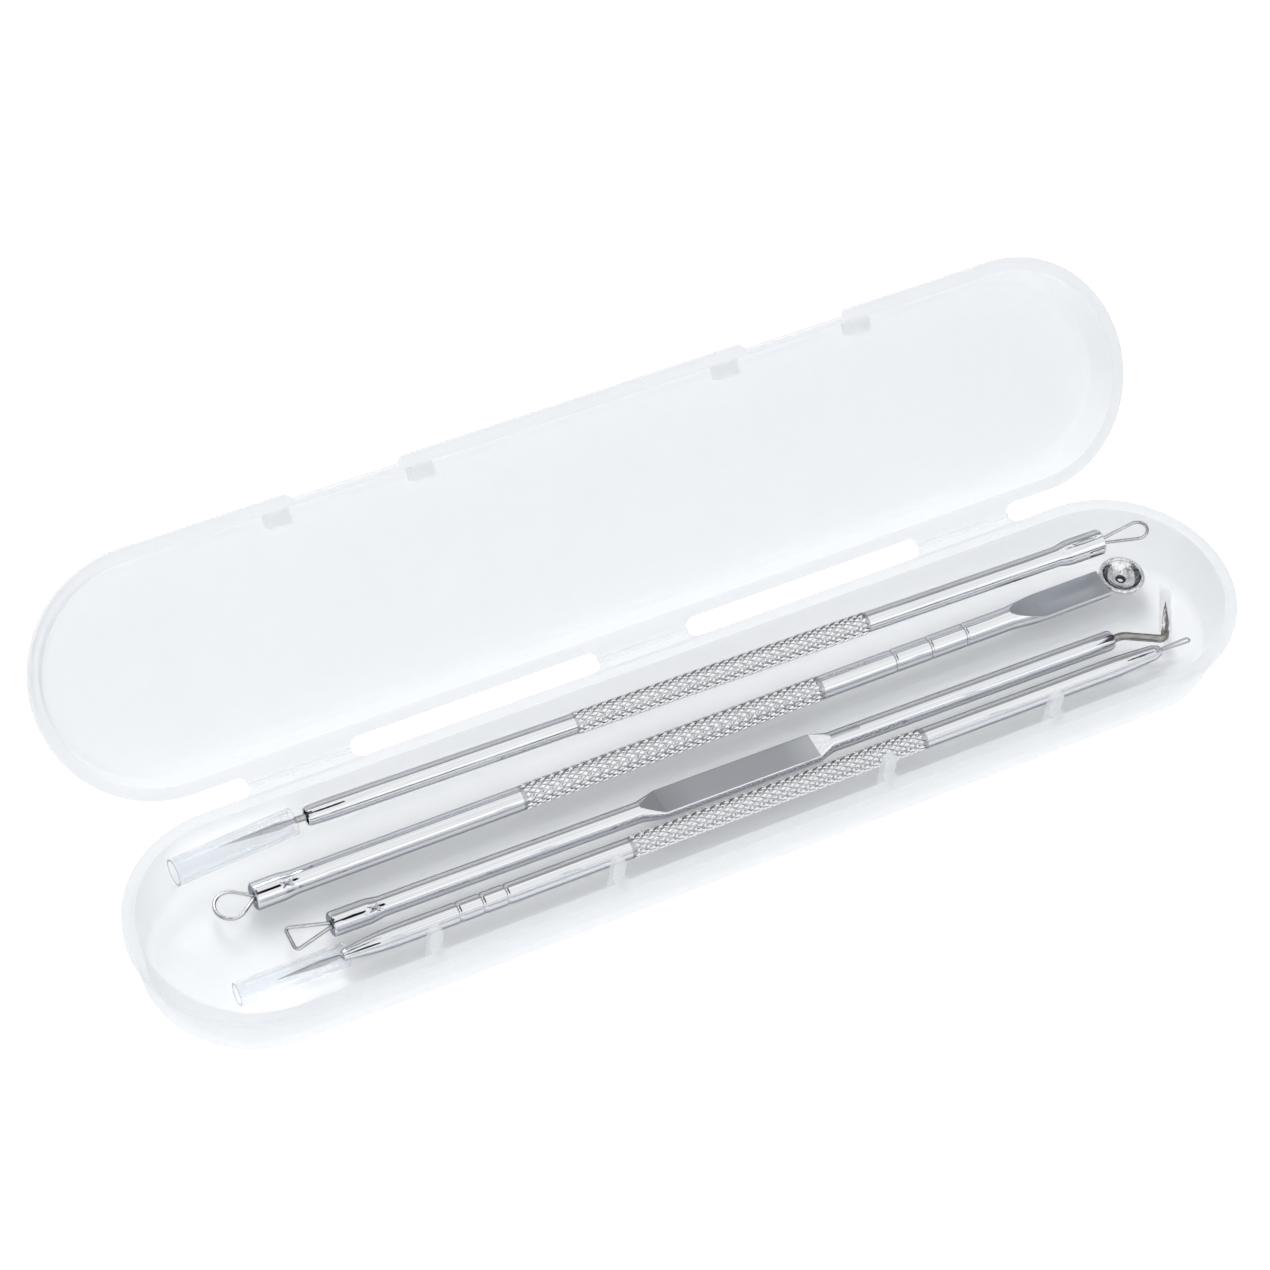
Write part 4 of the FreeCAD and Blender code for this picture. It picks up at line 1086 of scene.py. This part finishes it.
@dataclass
class GripTool(Tool):
    """The third tool: triangular wire loop, pressed flat grip, bent lancet.

    Flat is where its pressed flat starts and ends, ramps are where each end's ramp starts and
    is done, from there inwards, and mouth are places and radii of the right end's sections.
    """

    kind: str = "grip"
    body: Body = Body.GRIP
    node: str = "flat_grip_shaft"
    zones: tuple[Finish, ...] = (PRESSED_FINISH, SLIT_AND_HOLE_SHADE_FINISH)
    lay: Lay = Lay((-48.3, -1.1427, 2.75), -0.52)
    length: float = 104.8
    end: PinchedEnd = PinchedEnd(
        1.5, 5.2, (1.36, 1.47), 1.4, 7.2,
        Dent(2.5, 117, 2.0, 0.17, 0.42, line=(0.15, 4.0)))
    flat: Pair = (37.94, 67.07)
    ramps: tuple[Pair, Pair] = ((1.4, 4.2), (2.1, 4.2))
    pressed: Place = (2.0, 1.12, 0.6)
    mouth: tuple[Pair, ...] = ((-0.5, 1.25), (-0.12, 1.11), (0, 0.95))
    bore: Pair = (0.85, 6.0)
    sleeve: Tube = Tube(
        "grip_clear_sleeve", "bent_lancet_sleeve", Body.GRIP_SLEEVE,
        (SLEEVE_FINISH, SLEEVE_FINISH), 0, 7.3, 0.8, 0.62, (111.6985, -1.4536, 0.0), 57.5, 56)

    def shaft(self) -> Thing:
        """The shaft with its pinched end and its flat.

        Returns:
            The new object.
        """
        start, low = (self.flat[0] + ramp for ramp in self.ramps[0])
        end, high = (self.flat[1] - ramp for ramp in self.ramps[1])
        whole = (self.radius, self.radius, self.radius)
        stations = self.end.sections(self.radius)
        stations += [Station(start, *whole), Station(low, *self.pressed),
                     Station(high, *self.pressed), Station(end, *whole)]
        stations += rounds(*self.mouth, start=self.length)
        return Shaft(
            "grip_tool_shaft", self.lay, stations, ((0, self.end.reach), (start, low), (high, end)),
            self.end.bore, self.bore, self.end.dents(), [Zone(*self.flat, 1, True)]).build()

    def build(self) -> None:
        """Make and dress the tool's pieces."""
        self.dress_shaft(self.shaft())
        self.sleeve.build(self.lay)
        paint(BENT_FINISH, "bent_lancet")
        paint(COLLET_FINISH, "bent_lancet_collet")
        paint(WIRE_FINISH, "triangle_wire_loop")


@dataclass
class SlimTool(Tool):
    """The nearest tool: fine lancet under a clear cover, three rings, knurl, fine eye.

    Nose and tail are places and radii of its ends' sections, each from its own end.
    """

    kind: str = "slim"
    body: Body = Body.SLIM
    node: str = "slim_shaft"
    zones: tuple[Finish, ...] = (KNURL_GROOVE_SHADE_FINISH, SLIT_AND_HOLE_SHADE_FINISH)
    lay: Lay = Lay((-48.8, -5.4059, 2.7), -0.26)
    length: float = 110.0
    knurl: Pair = (36.41, 76.23)
    rings: Place = (14.4, 17.45, 20.5)
    nose: tuple[Pair, ...] = (
        (0, 0.55), (0.1, 0.65), (1.5, 0.84), (3.2, 1.03), (4.8, 1.18), (6.6, 1.25))
    tail: tuple[Pair, ...] = (
        (-6.4, 1.25), (-5.4, 1.2), (-1.0, 0.95), (-0.85, 0.9), (-0.1, 0.62), (0, 0.5))
    fine_ends: Pair = (5.5, 6.0)
    bore: Pair = (0.3, 4.0)
    far_bore: Pair = (0.31, 2.4)
    cover: Tube = Tube(
        "slim_clear_cover", "slim_lancet_cover", Body.SLIM_COVER, (COVER_FINISH, CUT_END_SHADE_FINISH),
        0.5, -12.9, 1.45, 1.15)

    def shaft(self) -> Thing:
        """The shaft with its tapered ends and its rings.

        Returns:
            The new object.
        """
        end = self.length
        stations = rounds(*self.nose) + self.grooves() + self.knurl_ends()
        stations += rounds(*self.tail, start=end)
        dents = [Dent(2.6, 128, 2.2, 0.13, 0.24, line=(0.1, 4.4)),
                 Dent(end - 3.2, 112, 2.4, 0.13, 0.2, line=(end - 5.2, end - 1.2), spread=3.0)]
        return Shaft(
            "slim_tool_shaft", self.lay, stations,
            ((0, self.fine_ends[0]), (end - self.fine_ends[1], end)),
            self.bore, self.far_bore, dents, [Zone(*self.knurl, 1)]).build()

    def build(self) -> None:
        """Make and dress the tool's pieces."""
        self.dress_shaft(self.shaft())
        self.add_knurl()
        self.cover.build(self.lay)
        paint(BLADE_FINISH, "slim_lancet")
        paint(WIRE_FINISH, "fine_eye_loop")


def stage_sheet(name: str, corners: Sequence[Sequence[float]],
                made: bpy.types.Material) -> Thing:
    """A flat sheet that belongs to the studio.

    Args:
        name: its name.
        corners: its four corners in metres.
        made: its material.

    Returns:
        The new object.
    """
    mesh = bpy.data.meshes.new(name)
    mesh.from_pydata(corners, [], [(0, 1, 2, 3)])
    mesh.materials.append(made)
    thing = placed(name, mesh)
    return thing


@dataclass(frozen=True)
class Card:
    """A grey card that only shows in gloss, as a studio sets beside bright metal.

    Way is the direction from the tools to the card, level how bright it is, and its sizes and
    distance are in metres.
    """

    name: str
    way: Place
    width: float
    height: float
    level: float
    distance: float = 0.7

    def build(self, target: Vector) -> None:
        """Set the card up.

        Args:
            target: the place that it faces.
        """
        made, graph = new_material(self.name)
        colour = (self.level, self.level, self.level * 1.03, 1)
        glow = graph.out("ShaderNodeEmission", {"Color": colour, "Strength": 1.0})
        graph.add("ShaderNodeOutputMaterial", {"Surface": glow})
        out = Vector(self.way).normalized()
        side = Vector((0, 0, 1)).cross(out).normalized()
        up = out.cross(side)
        middle = target + out * self.distance
        corners = [middle + side * (a * self.width / 2) + up * (b * self.height / 2)
                   for a, b in SQUARE]
        thing = stage_sheet(self.name, corners, made)
        thing.visible_camera = False
        thing.visible_diffuse = False
        thing.visible_transmission = False
        thing.visible_shadow = False


@dataclass(frozen=True)
class Lamp:
    """A large soft lamp, with its side in metres and its power in watts."""

    name: str
    place: Place
    size: float
    power: float
    shadow: bool = True

    def build(self, target: Vector) -> None:
        """Set the lamp up.

        Args:
            target: the place that it faces.
        """
        data = bpy.data.lights.new(self.name, "AREA")
        data.shape = "SQUARE"
        data.size = self.size
        data.energy = self.power
        data.use_shadow = self.shadow
        thing = placed(self.name, data)
        thing.location = self.place
        aim = target - Vector(self.place)
        thing.rotation_euler = aim.to_track_quat("-Z", "Y").to_euler()
        thing.visible_glossy = False


@dataclass
class Studio:
    """The pale floor, the soft light, the grey cards and the camera.

    Angles are in degrees, the focal length in pixels of the picture and the sensor in mm. The
    world's colour and strength light the case, while seen rays find white. The floor fades to
    white between near and far, in metres from the middle.
    """

    azimuth: float = -33.65
    elevation: float = 51.78
    roll: float = 8.0
    distance: float = 0.4527
    target: Place = (0.001853, 0.02071, 0.0048)
    focal: float = 3750.9
    picture: int = 1270
    sensor: float = 36.0
    near_clip: float = 0.01
    world_colour: Colour = (0.9, 0.95, 1)
    world_strength: float = 0.49
    floor_colours: tuple[Colour, Colour] = ((0.93, 0.93, 0.935), (0.95, 0.95, 0.95))
    floor_glow: float = 0.28
    floor_near: float = 0.12
    floor_far: float = 0.4
    floor_reach: float = 6.0
    floor_height: float = -0.0001
    fittings: tuple[Lamp | Card, ...] = (
        Lamp("back_softbox", (0.1, 0.7, 0.78), 0.42, 4.65),
        Lamp("side_softbox", (-0.7, 0.1, 0.8), 0.6, 0.35),
        Lamp("front_fill", (-0.34, -0.91, 0.35), 0.5, 3.1, False),
        Card("back_card", (0.34, 0.73, 0.6), 1.7, 0.58, 0.38),
        Card("front_card", (-0.1, -0.98, 0.09), 1.2, 0.14, 0.12),
        Card("bright_strip", (0.34, -0.82, 0.46), 1.3, 0.16, 1.3),
        Card("camera_card", (-0.34, -0.515, 0.786), 0.16, 0.03, 0.12, 0.46),
        Card("left_card", (-0.85, 0.1, 0.5), 0.8, 0.5, 0.05),
        Card("right_card", (0.9, -0.1, 0.42), 0.7, 0.5, 0.06),
        Card("top_card", (-0.25, 0.05, 1.0), 0.26, 0.34, 0.06))

    def world(self) -> None:
        """White for the camera and for gloss and clear plastic, softer for lighting."""
        world = bpy.data.worlds.new("studio_world")
        world.use_nodes = True
        bpy.context.scene.world = world
        graph = Graph(world.node_tree)
        white = graph.out("ShaderNodeBackground", {"Color": (1, 1, 1, 1), "Strength": 1.0})
        soft = graph.out("ShaderNodeBackground", {
            "Color": (*self.world_colour, 1), "Strength": self.world_strength})
        mix = graph.mix(graph.seen(), soft, white)
        graph.add("ShaderNodeOutputWorld", {"Surface": mix})

    def floor(self) -> None:
        """A wide pale floor that keeps the case's shadow and fades to white far off."""
        made, graph = new_material("pale_floor")
        place = graph.add("ShaderNodeTexCoord").outputs["Object"]
        noise = graph.add("ShaderNodeTexNoise", {"Vector": place, "Scale": 40.0, "Detail": 3.0})
        tint = graph.add("ShaderNodeValToRGB", {"Fac": noise.outputs["Fac"]})
        for stop, colour in zip(tint.color_ramp.elements, self.floor_colours):
            stop.color = (*colour, 1)
        matt = graph.out("ShaderNodeBsdfDiffuse", {"Color": tint.outputs[0]})
        glow = graph.mix(graph.seen(), graph.glow(0.0), graph.glow(self.floor_glow))
        near = graph.out("ShaderNodeAddShader", {0: matt, 1: glow})
        away = graph.add("ShaderNodeVectorMath", {0: place}, operation="LENGTH")
        far = graph.out("ShaderNodeMapRange", {
            "Value": away.outputs["Value"], "From Min": self.floor_near,
            "From Max": self.floor_far})
        fade = graph.math("MULTIPLY", far, graph.seen())
        mix = graph.mix(fade, near, graph.glow(1.0))
        graph.add("ShaderNodeOutputMaterial", {"Surface": mix})
        corners = [(a * self.floor_reach, b * self.floor_reach, self.floor_height)
                   for a, b in SQUARE]
        stage_sheet("pale_floor", corners, made)

    def camera(self) -> None:
        """The camera at the photograph's angle, with its slight roll."""
        turn, rise, lean = map(math.radians, (self.azimuth, self.elevation, self.roll))
        level = math.cos(rise)
        out = Vector((math.sin(turn) * level, -math.cos(turn) * level, math.sin(rise)))
        ahead = -out
        right = ahead.cross(Vector((0, 0, 1))).normalized()
        up = right.cross(ahead)
        across = right * math.cos(lean) + up * math.sin(lean)
        upward = up * math.cos(lean) - right * math.sin(lean)
        data = bpy.data.cameras.new("photo_camera")
        data.sensor_fit = "HORIZONTAL"
        data.sensor_width = self.sensor
        data.lens = self.focal / self.picture * self.sensor
        data.clip_start = self.near_clip
        thing = placed("photo_camera", data)
        spin = Matrix((across, upward, out)).transposed().to_4x4()
        place = Vector(self.target) + out * self.distance
        thing.matrix_world = Matrix.Translation(place) @ spin
        bpy.context.scene.camera = thing

    def build(self) -> None:
        """Set up the whole studio."""
        self.camera()
        self.world()
        self.floor()
        for fitting in self.fittings:
            fitting.build(Vector(self.target))
        bpy.context.scene.view_settings.view_transform = "Standard"


def main() -> None:
    """Build the studio and every sub-assembly in order."""
    logging.basicConfig(level=logging.INFO, format="%(message)s")
    for part in (Studio(), HingedCase(), NeedleTool(), SpoonTool(), GripTool(), SlimTool()):
        part.build()
        LOG.info("%s done", type(part).__name__)


if __name__ == "__main__":
    main()
